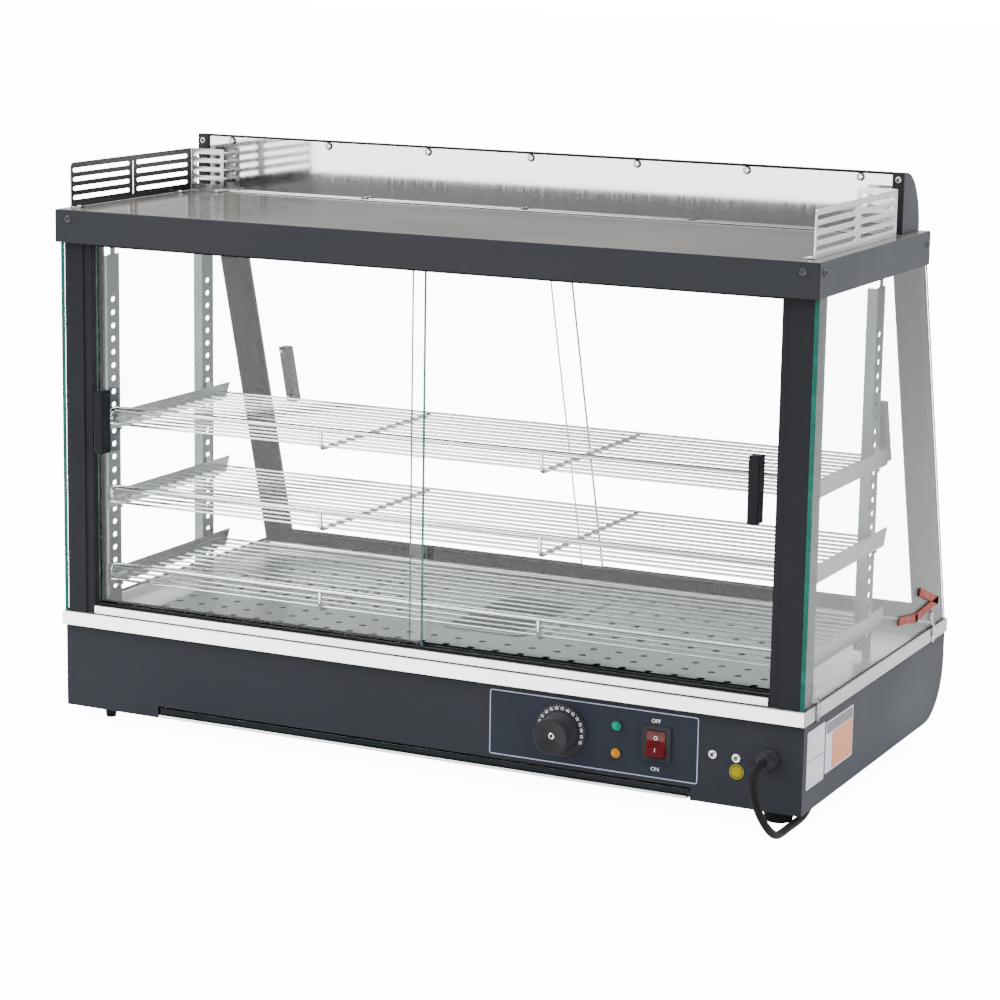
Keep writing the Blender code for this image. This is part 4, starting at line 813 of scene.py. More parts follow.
# Mains switch: a snap-in black housing and a clear red rocker that tips on two pins. A white ring and
# bar are printed in the rocker's two hollows.
rocker_pivot_y = base_front - 0.0013
rocker_tilt = math.radians(11)
rocker_half = 0.0135
rocker_rise = 0.0026
hollow_depth = 0.0024
mark_lift = 0.00006
mark_back, mark_front = 0.00005, -0.00008
rocker_red = add_finish(
    "rocker_red", skin, {"Grain": 300, "Clouds": 90},
    ((0.020, 0.0011, 0.0018), (0.034, 0.0020, 0.0030)), (0.05, 0.10), Specular_IOR_Level=0.22)
# The rocker's faint red glow is painted light: it stands in for light passing through the clear red
# plastic.
light_up(rocker_red, (0.5, 0.01, 0.01), 0.015)
housing = rounded_node("switch_housing", 0.0005, moulded_black)
add_piece("switch_bezel", housing, "case", "black_plastic", "switch_housing")
rocker = rounded_node("switch_rocker", 0.0007, rocker_red)
add_piece("switch_rocker_cap", rocker, "switch_rocker_body", "red_plastic", "switch_rocker")


def on_rocker(mesh, along):
    """Lay a flat mark, made facing the operator, in one of the rocker's hollows."""
    for vertex in mesh.vertices:
        place = vertex.co.z + along
        depth = vertex.co.y - rocker_rise - hollow_depth * abs(place) / rocker_half - mark_lift
        vertex.co.y = rocker_pivot_y + depth * math.cos(rocker_tilt) + place * math.sin(rocker_tilt)
        vertex.co.z = switch_middle[1] + place * math.cos(rocker_tilt) - depth * math.sin(rocker_tilt)
        vertex.co.x += switch_middle[0]
    return mesh


ring_mark = turned([(0.0015, mark_front), (0.0021, mark_front), (0.0021, mark_back), (0.0015, mark_back),
                    (0.0015, mark_front)], 24, "Y")
bar_mark = block((-0.00032, mark_front, -0.0020), (0.00032, mark_back, 0.0020))
rocker_marks = joined([on_rocker(ring_mark, 0.0062), on_rocker(bar_mark, -0.0064)])
add_piece("rocker_marks", dressed(rocker_marks, white_ink), "switch_rocker_body", "white_ceramic")

# Front fixings: two bright pan-head screws beside the controls hold the terminal block and the earth
# stud, and a plain yellow disc sits below the second. The terminal block is matte white ceramic.
screw_sides = 24
silver_screws = ((0.3491, 0.0709), (0.3752, 0.0704))
disc_middle = (0.3760, 0.0559)
disc_radius = 0.0080
disc_sheet = 0.00025
disc_ring = (0.735, 0.865)
cross_width_share = 0.32


def screw_mesh(radius, height):
    """Pan-head screw that stands up along Z from the origin; its cross recess is its second material."""
    head = turned([(0, 0), (radius, 0), (radius, height * 0.30), (radius * 0.92, height * 0.62),
                   (radius * 0.70, height * 0.88), (radius * 0.40, height), (0, height)], screw_sides)
    arm, reach_down = radius * 0.62, height * 0.35
    thin = arm * cross_width_share
    for across, along in ((arm, thin), (thin, arm)):
        head = cut(head, [block((-across, -along, reach_down), (across, along, height * 1.5))])
    for polygon in head.polygons:
        place = polygon.center
        if height * 0.3 < place.z < height * 0.99 and math.hypot(place.x, place.y) < arm * 1.02:
            polygon.material_index = 1
    return head


def placed(mesh, place, outward):
    """Copy of an upright mesh turned so that it points outward, then set at a place."""
    copy = mesh.copy()
    copy.transform(Vector((0, 0, 1)).rotation_difference(Vector(outward)).to_matrix().to_4x4())
    copy.transform(Matrix.Translation(place))
    return copy


screw = screw_mesh(0.0034, 0.0018)
washer = turned([(0, 0), (0.0044, 0), (0.0044, 0.0005), (0, 0.0005)], screw_sides)
heads = []
for x, z in silver_screws:
    heads.append(placed(washer, (x, base_front, z), (0, -1, 0)))
    heads.append(placed(screw, (x, base_front - 0.0005, z), (0, -1, 0)))
# Near-black for the screws' cross recesses: painted shade.
recess_shade = add_finish(
    "recess_shade", skin, {"Grain": 900, "Clouds": 80}, ((0.008, 0.008, 0.008), (0.03, 0.03, 0.03)),
    (0.4, 0.6), Metallic=0.6)
add_piece("front_screws", dressed(joined(heads), bright_plate, recess_shade), "case", "chrome")
disc_yellow = add_finish(
    "disc_yellow", skin, {"Grain": 900, "Clouds": 40}, ((0.195, 0.168, 0.004), (0.25, 0.215, 0.008)),
    (0.30, 0.42), 0.08, Specular_IOR_Level=0.06)
disc_dark = add_finish(
    "disc_rim", skin, {"Grain": 900}, ((0.010, 0.010, 0.006), (0.02, 0.02, 0.012)), (0.35, 0.5),
    Specular_IOR_Level=0.1)
disc = turned([(0, -disc_sheet), (disc_radius * 0.72, -disc_sheet), (disc_radius * 0.74, -0.00020),
               (disc_radius * 0.86, -0.00020), (disc_radius * 0.88, -disc_sheet), (disc_radius, -0.00022),
               (disc_radius, 0), (0, 0)], 40, "Y")
for polygon in disc.polygons:
    share = math.hypot(polygon.center.x, polygon.center.z) / disc_radius
    polygon.material_index = int(disc_ring[0] < share < disc_ring[1])
moved(disc, (disc_middle[0], base_front, disc_middle[1]))
add_piece("yellow_disc", dressed(disc, disc_yellow, disc_dark), "case", "amber_plastic")
ceramic = add_finish(
    "terminal_ceramic", skin, {"Grain": 500, "Clouds": 60}, ((0.62, 0.60, 0.54), (0.76, 0.74, 0.68)),
    (0.5, 0.7), 0.3)
refinish(ceramic, "terminal_block")

# Cable gland: a black nylon hexagon nut with a dome and a short tapered sleeve that grips the lead.
# It screws through the base's front.
gland_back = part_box("cable_gland")[1].y
nut_radius = 0.0119
nut_front = base_front - 0.0098
dome_front = nut_front - 0.0030
nylon = add_finish(
    "black_nylon", skin, {"Grain": 1400, "Clouds": 40}, ((0.005, 0.005, 0.006), (0.010, 0.010, 0.011)),
    (0.38, 0.52), 0.25, Specular_IOR_Level=0.15)
corners = [math.tau * side / 6 for side in range(6)]
hexagon = [(nut_radius * math.cos(angle), nut_radius * math.sin(angle)) for angle in corners]
nut = rounded(prism(hexagon, "Y", base_front - 0.0052, base_front - 0.0004), 0.0006)
collar = turned([(0, dome_front - 0.0048), (0.0052, dome_front - 0.0048), (0.0058, dome_front - 0.0042),
                 (0.0070, dome_front - 0.0012), (0.0080, dome_front), (0.0092, dome_front + 0.0004),
                 (0.0106, nut_front), (0.0112, nut_front + 0.0022), (0.0112, base_front - 0.0050),
                 (0.0072, base_front - 0.0050), (0.0072, gland_back), (0, gland_back)], 40, "Y")
gland = moved(joined([nut, collar]), (gland_middle[0], 0, gland_middle[1]))
add_piece("lead_gland", dressed(gland, nylon), "case", "black_plastic", "cable_gland")

# Side plates: two blank self-adhesive plates on the right side of the base, one white, one pale with an
# orange field below a dark band. They carry no words or signs.
plate_sheet = 0.00025
plate_corner = 0.0018
plate_x = side_high.x
white_vinyl = add_finish(
    "white_vinyl", skin, {"Grain": 900, "Clouds": 14}, ((0.315, 0.335, 0.375), (0.40, 0.42, 0.46)),
    (0.35, 0.48), 0.08)
grey_ink = add_finish(
    "grey_ink", skin, {"Grain": 900, "Clouds": 20}, ((0.055, 0.052, 0.055), (0.085, 0.080, 0.083)),
    (0.40, 0.52))
orange_ink = add_finish(
    "orange_ink", skin, {"Grain": 900, "Clouds": 20}, ((0.33, 0.110, 0.050), (0.41, 0.155, 0.075)),
    (0.38, 0.50))
for name, low, high, material, proud in (
        ("side_plate_white", (-0.2105, 0.0425), (-0.1585, 0.1040), white_vinyl, 1),
        ("side_plate_white_line", (-0.2080, 0.0715), (-0.1610, 0.0722), grey_ink, 2),
        ("side_plate_pale", (-0.1550, 0.0460), (-0.0700, 0.1015), white_vinyl, 1),
        ("side_plate_band", (-0.1530, 0.0885), (-0.0720, 0.0998), grey_ink, 2),
        ("side_plate_orange", (-0.1340, 0.0478), (-0.0720, 0.0872), orange_ink, 2)):
    corner = min(plate_corner, (high[1] - low[1]) * 0.3)
    vinyl = prism(rounded_outline(low, high, corner, 4), "X", plate_x, plate_x + plate_sheet * proud)
    add_piece(name, dressed(vinyl, material), "case", "white_ceramic")

# Mains lead: black rubber, 8.5 mm thick, moulded with a faint grain. It hangs from the gland to the
# counter, runs back below the case and is put away in a round coil behind it. Its route is the CAD's.
cord_radius = 0.00425
cord_floor = 0.00455
coil_centre = (0.3270, 0.3130)
coil_radius = 0.0580
coil_pitch = 0.0091
coil_turns = 3.25
coil_steps = 24
coil_lead = 0.015
coil_run_in = 0.0095
cord_step = 0.008
plug_rise = 0.0103
cord_route = [
    (0.4110, -0.24015, 0.0745), (0.4110, -0.2440, 0.0745), (0.4112, -0.2574, 0.0724),
    (0.4125, -0.2688, 0.0663), (0.4156, -0.2773, 0.0570), (0.4202, -0.2818, 0.0456),
    (0.4253, -0.2818, 0.0335), (0.4299, -0.2773, 0.0220), (0.4330, -0.2688, 0.0127),
    (0.4343, -0.2574, 0.0067), (0.4345, -0.2444, cord_floor), (0.4345, -0.2250, cord_floor),
    (0.4347, -0.2000, cord_floor), (0.4338, -0.1780, cord_floor), (0.4295, -0.1520, cord_floor),
    (0.4225, -0.1250, cord_floor), (0.4135, -0.0950, cord_floor), (0.4050, -0.0600, cord_floor),
    (0.3985, -0.0200, cord_floor), (0.3932, 0.0300, cord_floor), (0.3889, 0.0850, cord_floor),
    (0.3860, 0.1350, cord_floor), (0.3850, 0.1800, cord_floor), (0.3850, 0.2300, cord_floor),
    (0.3853, 0.2750, cord_floor),
]


def smooth_path(points, step):
    """Places along a smooth curve through the given points, about one step apart."""
    places = []
    padded = [points[0], *points, points[-1]]
    for index in range(1, len(padded) - 2):
        before, start, end, after = (Vector(place) for place in padded[index - 1:index + 3])
        count = max(1, round((end - start).length / step))
        for part in range(count):
            share = part / count
            first = 2 * start + (end - before) * share
            second = (2 * before - 5 * start + 4 * end - after) * share ** 2
            third = (3 * start - before - 3 * end + after) * share ** 3
            places.append((first + second + third) / 2)
    places.append(Vector(points[-1]))
    return places


def coil_places():
    """Two layers: the lower spirals in, climbs in half a turn, and the upper spirals out again."""
    places = []
    total = round(coil_turns * coil_steps)
    climb = coil_steps / 2
    for index in range(total + 1):
        radius = coil_radius - coil_pitch * min(index, total - index) / coil_steps
        angle = math.tau * index / coil_steps
        share = min(1, max(0, (index - total / 2 + climb / 2) / climb))
        lift = coil_pitch * share * share * (3 - 2 * share)
        places.append(Vector((coil_centre[0] + radius * math.cos(angle),
                              coil_centre[1] + radius * math.sin(angle), cord_floor + lift)))
    return places


lead_rubber = add_finish(
    "lead_rubber", skin, {"Grain": 1300, "Clouds": 40},
    ((0.0022, 0.0022, 0.0026), (0.0042, 0.0042, 0.0048)), (0.42, 0.56), 0.3, Specular_IOR_Level=0.08)
cord_places = smooth_path(cord_route, cord_step)
coil = coil_places()
cord_places.append(coil[0] - (coil[1] - coil[0]).normalized() * coil_run_in)
cord_places += coil
cord_places.append(coil[-1] - Vector((coil_lead, 0, 0)))
cord_places.append(Vector((coil[-1].x - 2 * coil_lead, coil[-1].y, plug_rise)))
cord_places.append(cord_places[-1] - Vector((coil_lead / 3, 0, 0)))


def round_curve(name, places, radius, resolution):
    """Curve object data that sweeps a round section along the places, closed at both ends."""
    curve = bpy.data.curves.new(name, "CURVE")
    curve.dimensions = "3D"
    curve.bevel_depth = radius
    curve.bevel_resolution = resolution
    curve.use_fill_caps = True
    line = curve.splines.new("POLY")
    line.points.add(len(places) - 1)
    for point, place in zip(line.points, places):
        point.co = (*place, 1)
    return curve


cord_curve = round_curve("mains_lead", cord_places, cord_radius, 5)
cord_curve.materials.append(lead_rubber)
mains_lead = bpy.data.objects.new("mains_lead", cord_curve)
bpy.context.scene.collection.objects.link(mains_lead)
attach(mains_lead, "case")
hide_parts("power_cord_tube", "power_cord_coil")

# Front posts: folded black sheet with a wide face and a narrow strip set back behind a fine groove.
# Rear posts lean with the customer side. All are sprayed satin black.
post_edge = 0.0007
cabinet_black = add_finish(
    "cabinet_black_paint", skin, {"Grain": 1300, "Clouds": 6, "Specks": 300},
    ((0.0068, 0.0074, 0.0090), (0.0090, 0.0097, 0.0115)), (0.36, 0.44), 0.12, 0.00005,
    Specular_IOR_Level=0.06)
for node in ("post_front_left", "post_front_right", "post_rear_left", "post_rear_right"):
    add_piece(node + "_sheet", rounded_node(node, post_edge, cabinet_black), "case", "black_paint", node)

# Side panes: clear 5 mm float glass, their long edges ground and polished, so that light that has
# travelled inside the pane makes them deep green. They stand on the trim's ledge.
pane_arris = 0.0004
smears, smears_in, smears_out = new_group("glass_smears", {"Clouds": 5, "Streaks": 26})
smears_place = smears.nodes.new("ShaderNodeTexCoord").outputs["Object"]
smear_clouds = add_noise(smears, smears_place, smears_in.outputs["Clouds"], 4.0, 0.45, 0.75)
smears.links.new(smear_clouds, smears_out.inputs["Tone"])
smears.links.new(smear_clouds, smears_out.inputs["Gloss"])
smears.links.new(add_noise(smears, smears_place, smears_in.outputs["Streaks"], 2.0),
                 smears_out.inputs["Height"])
clear_glass = add_finish(
    "clear_glass", smears, {}, ((0.955, 0.985, 0.975), (0.945, 0.978, 0.968)), (0.0, 0.012),
    Transmission_Weight=1.0, IOR=1.27)
green_edge = add_finish(
    "green_glass_edge", smears, {"Clouds": 60}, ((0.000, 0.052, 0.037), (0.002, 0.095, 0.068)),
    (0.08, 0.20), Specular_IOR_Level=0.10)
pale_edge = add_finish(
    "pale_glass_edge", smears, {"Clouds": 60}, ((0.05, 0.11, 0.10), (0.12, 0.20, 0.18)), (0.08, 0.20),
    Specular_IOR_Level=0.2)


def pane_mesh(node, edge_finish):
    """Copy of a CAD pane with its edges taken off and finished apart from its faces."""
    mesh = rounded_node(node, pane_arris, clear_glass, None, 1)
    mesh.materials.append(edge_finish)
    broad = max(mesh.polygons, key=lambda polygon: polygon.area).normal.copy()
    for polygon in mesh.polygons:
        if abs(polygon.normal.dot(broad)) < 0.95:
            polygon.material_index = 1
    return mesh


for node in ("side_glass_left", "side_glass_right"):
    add_piece(node + "_pane", pane_mesh(node, green_edge), "case", "clear_glass", node)

# Gasket lines: a thin bead of black silicone rubber beds each side pane on the ledge. It is run in by
# hand and wiped off, so its edges are soft.
bead_height = 0.0016
bead_near, bead_far = 0.0001, 0.0007
bead_black = add_finish(
    "bead_black", skin, {"Grain": 900, "Clouds": 40}, ((0.005, 0.005, 0.006), (0.010, 0.010, 0.011)),
    (0.5, 0.65), 0.2, Specular_IOR_Level=0.2)
pane_low, pane_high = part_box("side_glass_right")
for side, name in ((-1, "left"), (1, "right")):
    edges = sorted((side * (pane_high.x + bead_far), side * (pane_high.x + bead_near)))
    bead = rounded(block((edges[0], pane_low.y + 0.004, pane_low.z - 0.0002),
                         (edges[1], pane_high.y - 0.002, pane_low.z + bead_height)), 0.0002)
    add_piece(f"side_bead_{name}", dressed(bead, bead_black), "case", "black_rubber")

# Spring clips: two bent strips of bright spring steel hook under the trim on the right and press the
# side pane home. Each flares out at its top, for a thumb to lift.
clip_sheet = 0.0007
clip_width = 0.0085
clip_places = (-0.1905, 0.1905)
clip_step = 0.0012
clip_path = ((0.4520, 0.1500), (0.4490, 0.1475), (0.4483, 0.1440), (0.4486, 0.1390), (0.4500, 0.1345),
             (0.4517, 0.1300), (0.4519, 0.1250), (0.4510, 0.1205), (0.4506, 0.1165), (0.4510, 0.1128),
             (0.4488, 0.1115))


def strip_mesh(path, low, high, sheet):
    """Bent strip: an X and Z path given some thickness, between two places along Y."""
    near, far = [], []
    for index, place in enumerate(path):
        before, after = path[max(index - 1, 0)], path[min(index + 1, len(path) - 1)]
        along = Vector((after[0] - before[0], after[1] - before[1])).normalized()
        offset = Vector((-along.y, along.x)) * sheet / 2
        near.append((place[0] + offset.x, place[1] + offset.y))
        far.append((place[0] - offset.x, place[1] - offset.y))
    return prism(near + far[::-1], "Y", low, high)


def smooth_flat(points, step):
    """Points along a smooth curve through points in a plane."""
    places = smooth_path([(first, 0, second) for first, second in points], step)
    return [(place.x, place.z) for place in places]


clip_line = smooth_flat(clip_path, clip_step)
clip_mesh = joined([strip_mesh(clip_line, y - clip_width / 2, y + clip_width / 2, clip_sheet)
                    for y in clip_places])
# Its colour runs in bands from near black to near white along the strip: painted reflection.
spring_steel_glints = add_finish(
    "spring_steel_glints", lines, {"Along X": 3, "Along Y": 3, "Along Z": 230, "Clouds": 40},
    ((0.03, 0.03, 0.032), (0.92, 0.92, 0.93)), (0.10, 0.20), 0.05, Metallic=1.0)
clip_mesh.shade_smooth()
clip_mesh.set_sharp_from_angle(angle=0.7)
add_piece("side_pane_clips", dressed(clip_mesh, spring_steel_glints), "case", "chrome")

# Corner brace: a strip of thin steel, cut to a Z and painted red-brown. It lies against the right side
# pane at its low rear corner.
brace_wide = 0.0095
brace_sheet = 0.0016
brace_line = ((0.0735, 0.1615), (0.1300, 0.1535), (0.2040, 0.1590), (0.1440, 0.1800))
brace_paint = add_finish(
    "red_brown_paint", skin, {"Grain": 800, "Clouds": 60},
    ((0.095, 0.010, 0.006), (0.155, 0.019, 0.012)), (0.42, 0.60), 0.4, Specular_IOR_Level=0.2)


def strip_outline(start, end, width):
    """Outline of a flat strip between two points of a plane, run on by half its width at both ends."""
    along = (Vector(end) - Vector(start)).normalized() * width / 2
    across = Vector((-along.y, along.x))
    start, end = Vector(start) - along, Vector(end) + along
    return [tuple(start + across), tuple(start - across), tuple(end - across), tuple(end + across)]


brace_face = pane_high.x + 0.0002
strips = []
for start, end in zip(brace_line, brace_line[1:]):
    outline = strip_outline(start, end, brace_wide)
    strips.append(rounded(prism(outline, "X", brace_face, brace_face + brace_sheet), 0.0005))
add_piece("corner_brace", dressed(joined(strips), brace_paint), "case", "red_plastic")

# Sill and tracks: a stainless channel on the ledge holds the operator doors' black double-groove track.
# The customer doors' tracks follow the slant. All the tracks are extruded plastic.
sill_steel = add_finish(
    "sill_steel", lines, {"Along X": 4}, ((0.60, 0.60, 0.60), (0.74, 0.74, 0.73)), (0.20, 0.32), 0.12,
    0.0001, Metallic=1.0)
track_black = add_finish(
    "track_black", lines, {"Along X": 9, "Along Y": 500, "Along Z": 500},
    ((0.0025, 0.0028, 0.003), (0.005, 0.0053, 0.0057)), (0.34, 0.50), 0.15, Specular_IOR_Level=0.05)
add_piece("sill_channel", rounded_node("front_sill", 0.0006, sill_steel), "case", "stainless",
          "front_sill")
sill_low, sill_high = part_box("front_sill")
# A thin near-black strip along the sill's foot is painted shade: the shadow of the gap between the sill
# and the ledge.
sill_shadow_strip = rounded(block((sill_low.x, sill_low.y - 0.0007, sill_low.z - 0.0002),
                          (sill_high.x, sill_low.y - 0.00005, sill_low.z + 0.0009)), 0.0002)
add_piece("sill_shadow_strip", dressed(sill_shadow_strip, bead_black), "case", "black_rubber")
for node in ("front_track_lower", "front_track_upper", "rear_track_lower", "rear_track_upper"):
    add_piece(node + "_extrusion", rounded_node(node, 0.0003, track_black, None, 2), "case",
              "black_plastic", node)

# Sliding doors: four clear panes in their grooves, two on each long side. Each has a black moulded bar
# handle with softened edges on its outer face; the customer doors' handles are held by a bright screw at
# each end.
handle_round = 0.0018
handle_seat = 0.0054
post_depth = 0.021
post_low, post_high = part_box("post_rear_right")
lean = (post_high.y - post_depth - post_low.y) / (post_high.z - post_low.z)
handle_black = add_finish(
    "handle_black", skin, {"Grain": 1600, "Clouds": 24, "Specks": 500},
    ((0.0022, 0.0026, 0.0034), (0.0040, 0.0046, 0.0058)), (0.40, 0.52), 0.18, 0.00006,
    Specular_IOR_Level=0.07)
for side in ("operator", "customer"):
    for hand in ("left", "right"):
        body = f"{side}_door_{hand}_body"
        add_piece(f"{side}_pane_{hand}", pane_mesh(f"{side}_door_{hand}", pale_edge), body, "clear_glass",
                  f"{side}_door_{hand}")
        if side == "operator":
            handle = rounded(block(*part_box(f"operator_handle_{hand}")), handle_round, None, 5)
        else:
            handle = rounded(nodes[f"customer_handle_{hand}"].data, handle_round, None, 4)
        add_piece(f"{side}_pull_{hand}", dressed(handle, handle_black), body, "black_plastic",
                  f"{side}_handle_{hand}")
small_screw = screw_mesh(0.0022, 0.0010)
for hand in ("left", "right"):
    low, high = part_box(f"customer_handle_{hand}")
    heads = []
    for level in (0.08, 0.92):
        z = low.z + (high.z - low.z) * level
        near = low.y + lean * (high.z - z) - handle_seat
        heads.append(placed(small_screw, ((low.x + high.x) / 2, near, z), (0, -1, -lean * 0.6)))
    add_piece(f"customer_pull_screws_{hand}", dressed(joined(heads), bright_plate),
              f"customer_door_{hand}_body", "chrome")

# Shelf standards: four slotted stainless angles, dull on their faces, with a column of round-ended
# slots and a seat tab under each shelf arm. They stand on the deck and are spot-welded to the trim.
slot_count = 23
slot_pitch = 0.0152
first_slot_z = 0.4795
slot_size = (0.0088, 0.0060)
standard_sheet = 0.0012
shelf_levels = (0.1473, 0.2385, 0.3297)
standard_steel = add_finish(
    "standard_steel", lines, {"Along X": 500, "Along Y": 500, "Along Z": 8, "Clouds": 12},
    ((0.105, 0.113, 0.120), (0.175, 0.185, 0.195)), (0.28, 0.44), 0.12, 0.0001, Metallic=1.0)
standard_drop = 0.0317
standard_corner = 0.0040
flange_width = 0.0106
flange_foot = 0.1296
tongue_half = 0.0045
seat_length = 0.009
seat_sheet = 0.002
seat_reach = 0.0028
for row in ("front", "rear"):
    for hand, face_x in (("left", -0.4300), ("right", 0.4125)):
        low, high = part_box(f"shelf_standard_{row}_{hand}")
        middle = (low.y + high.y) / 2
        leg_top = high.z - standard_drop
        outline = [(high.y, low.z), (high.y, leg_top)]
        for step in range(5):
            angle = math.pi / 2 * (1 + step / 4)
            outline.append((low.y + standard_corner + standard_corner * math.cos(angle),
                            leg_top - standard_corner + standard_corner * math.sin(angle)))
        leg = prism([(low.y, low.z), *outline], "X", face_x, face_x + standard_sheet)
        slots = []
        for index in range(slot_count):
            z = first_slot_z - index * slot_pitch
            outline = rounded_outline((middle - slot_size[0] / 2, z - slot_size[1] / 2),
                                      (middle + slot_size[0] / 2, z + slot_size[1] / 2),
                                      slot_size[1] * 0.46, 3)
            slots.append(prism(outline, "X", face_x - 0.002, face_x + 0.004))
        flange = block((face_x - flange_width, low.y, flange_foot),
                       (face_x + 0.0001, low.y + standard_sheet, leg_top - standard_corner * 0.3))
        tongue = block((face_x, middle - tongue_half, leg_top - 0.002),
                       (face_x + standard_sheet, middle + tongue_half, high.z))
        tabs = [flange, tongue]
        for level in shelf_levels:
            seat = level - 0.0003
            tabs.append(rounded(block((face_x + 0.0008, high.y - seat_length, seat - seat_sheet),
                                      (face_x + standard_sheet + seat_reach, high.y, seat)), 0.0004))
        leg = rounded(cut(leg, slots), 0.0003, lambda middle: abs(middle.z - leg_top) < 0.001, 2)
        add_piece(f"standard_{row}_{hand}", dressed(joined([leg, *tabs]), standard_steel), "case",
                  "stainless", f"shelf_standard_{row}_{hand}")

# Wire shelves: three, each of fourteen bright plated wires welded between two flat side arms, with two
# cross bars that hook up under a raised front rail. The wires in line with the right uprights stop
# short of them, so that the shelf lifts out.
wire_radius = 0.0015
wire_bite = 0.0004
wire_count = 14
wire_rise = 0.0090
cross_bar_radius = 0.0023
cross_bars = (-0.1480, 0.1210)
rail_radius = 0.0029
arm_left_face = -0.4285
arm_right_face = 0.4140
arm_sheet = 0.0015
arm_low_y = -0.16465
arm_length = 0.2725
wire_margin = 0.0045
rail_tail = 0.0230
rail_y = -0.16365
rail_rise = 0.0275
rail_bend = 0.008
arm_height = 0.0200
arm_slant = 0.0100
hanger_height = 0.0270
hanger_width = 0.012
rear_hanger = 0.05235
upright_starts = (-0.15865, 0.04635)
upright_width = 0.0315
upright_gap = 0.003
short_wire_end = 0.4004
plated_wire = add_finish(
    "plated_wire", skin, {"Grain": 300, "Clouds": 30}, ((0.76, 0.78, 0.80), (0.90, 0.91, 0.92)),
    (0.07, 0.16), 0.04, Metallic=1.0)
arm_steel = add_finish(
    "shelf_arm_steel", lines, {"Along X": 500, "Along Y": 6, "Along Z": 500},
    ((0.24, 0.25, 0.26), (0.38, 0.39, 0.40)), (0.16, 0.28), 0.10, 0.0001, Metallic=1.0)
# Where a wire turns away from the camera its colour fades to near black: painted shade on the wire's
# sides.
tree = plated_wire.node_tree
wire_shader = tree.nodes["Principled BSDF"]
wire_turn_shade = new_node(tree, "ShaderNodeLayerWeight", Blend=0.42)
wire_shade_mix = tree.nodes.new("ShaderNodeMix")
wire_shade_mix.data_type = "RGBA"
wire_shade_mix.inputs[7].default_value = (0.015, 0.017, 0.020, 1)
tree.links.new(wire_shader.inputs["Base Color"].links[0].from_socket, wire_shade_mix.inputs[6])
tree.links.new(wire_turn_shade.outputs["Facing"], wire_shade_mix.inputs[0])
tree.links.new(wire_shade_mix.outputs[2], wire_shader.inputs["Base Color"])


def wire_mesh(points, radius, sides=12):
    """Round wire along a path, closed at both ends."""
    mesh = shaped(round_curve("wire", points, radius, (sides - 4) // 2))
    mesh.shade_smooth()
    mesh.set_sharp_from_angle(angle=1.0)
    return mesh


def bent_path(corners, radius, steps=6):
    """Path through the given corners, each inner one rounded off."""
    path = [Vector(corners[0])]
    for before, corner, after in zip(corners, corners[1:], corners[2:]):
        corner = Vector(corner)
        start = corner + (Vector(before) - corner).normalized() * radius
        end = corner + (Vector(after) - corner).normalized() * radius
        for step in range(steps + 1):
            share = step / steps
            path.append(start * (1 - share) ** 2 + corner * 2 * share * (1 - share) + end * share ** 2)
    path.append(Vector(corners[-1]))
    return path


def arm_outline(level):
    """Side arm with two hanger upstands and an angled rear end, as (y, z) pairs."""
    far = arm_low_y + arm_length
    top, hanger_top = level + arm_height, level + hanger_height
    return [(arm_low_y, level), (far - arm_slant, level), (far, top), (rear_hanger + hanger_width, top),
            (rear_hanger + hanger_width, hanger_top), (rear_hanger, hanger_top), (rear_hanger, top),
            (arm_low_y + hanger_width, top), (arm_low_y + hanger_width, hanger_top),
            (arm_low_y, hanger_top)]


for number, level in enumerate(shelf_levels, start=1):
    wire_z = level + wire_rise
    arms = [rounded(prism(arm_outline(level), "X", face, face + arm_sheet), 0.0004, None, 2)
            for face in (arm_left_face, arm_right_face)]
    add_piece(f"shelf_arms_{number}", dressed(joined(arms), arm_steel), f"shelf_{number}_body", "chrome")
    parts = []
    first_y = arm_low_y + wire_margin
    last_y = first_y + arm_length - arm_slant - 2 * wire_margin
    for index in range(wire_count):
        y = first_y + (last_y - first_y) * index / (wire_count - 1)
        at_upright = any(start - upright_gap < y < start + upright_width for start in upright_starts)
        end_x = short_wire_end if at_upright else arm_right_face + wire_bite
        parts.append(wire_mesh([(arm_left_face + 0.001, y, wire_z), (end_x, y, wire_z)], wire_radius))
    bar_z = wire_z - wire_radius - cross_bar_radius + wire_bite
    for x in cross_bars:
        hook = [(x, last_y + wire_margin, bar_z), (x, rail_y, bar_z), (x, rail_y, level + rail_rise)]
        parts.append(wire_mesh(bent_path(hook, rail_bend), cross_bar_radius, 14))
    left, right = arm_left_face + arm_sheet + 0.006, arm_right_face - 0.019
    low = wire_z + wire_radius + rail_radius - wire_bite
    corners = [(left, first_y + rail_tail, low), (left, rail_y, low),
               (left, rail_y, level + rail_rise), (right, rail_y, level + rail_rise),
               (right, rail_y, low), (right, first_y + rail_tail, low)]
    parts.append(wire_mesh(bent_path(corners, rail_bend), rail_radius, 16))
    add_piece(f"wire_shelf_{number}", dressed(joined(parts), plated_wire), f"shelf_{number}_body",
              "chrome", f"shelf_{number}")

# Top cover: folded black sheet, open below, satin on its sides. Its top face is smoother and picks up the
# room, and its paint is lighter and warmer than the sides': painted reflection. Small black pan-head
# screws hold it to the posts.
cover_fold = 0.0016
cover_screw_x = 0.432
cover_screw_z = 0.5780
cover_low, cover_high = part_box("top_cover")
cover_black = add_finish(
    "cover_black_paint", skin, {"Grain": 1300, "Clouds": 6, "Specks": 300},
    ((0.0082, 0.0090, 0.0110), (0.0105, 0.0113, 0.0136)), (0.34, 0.42), 0.12, 0.00005,
    Specular_IOR_Level=0.11)
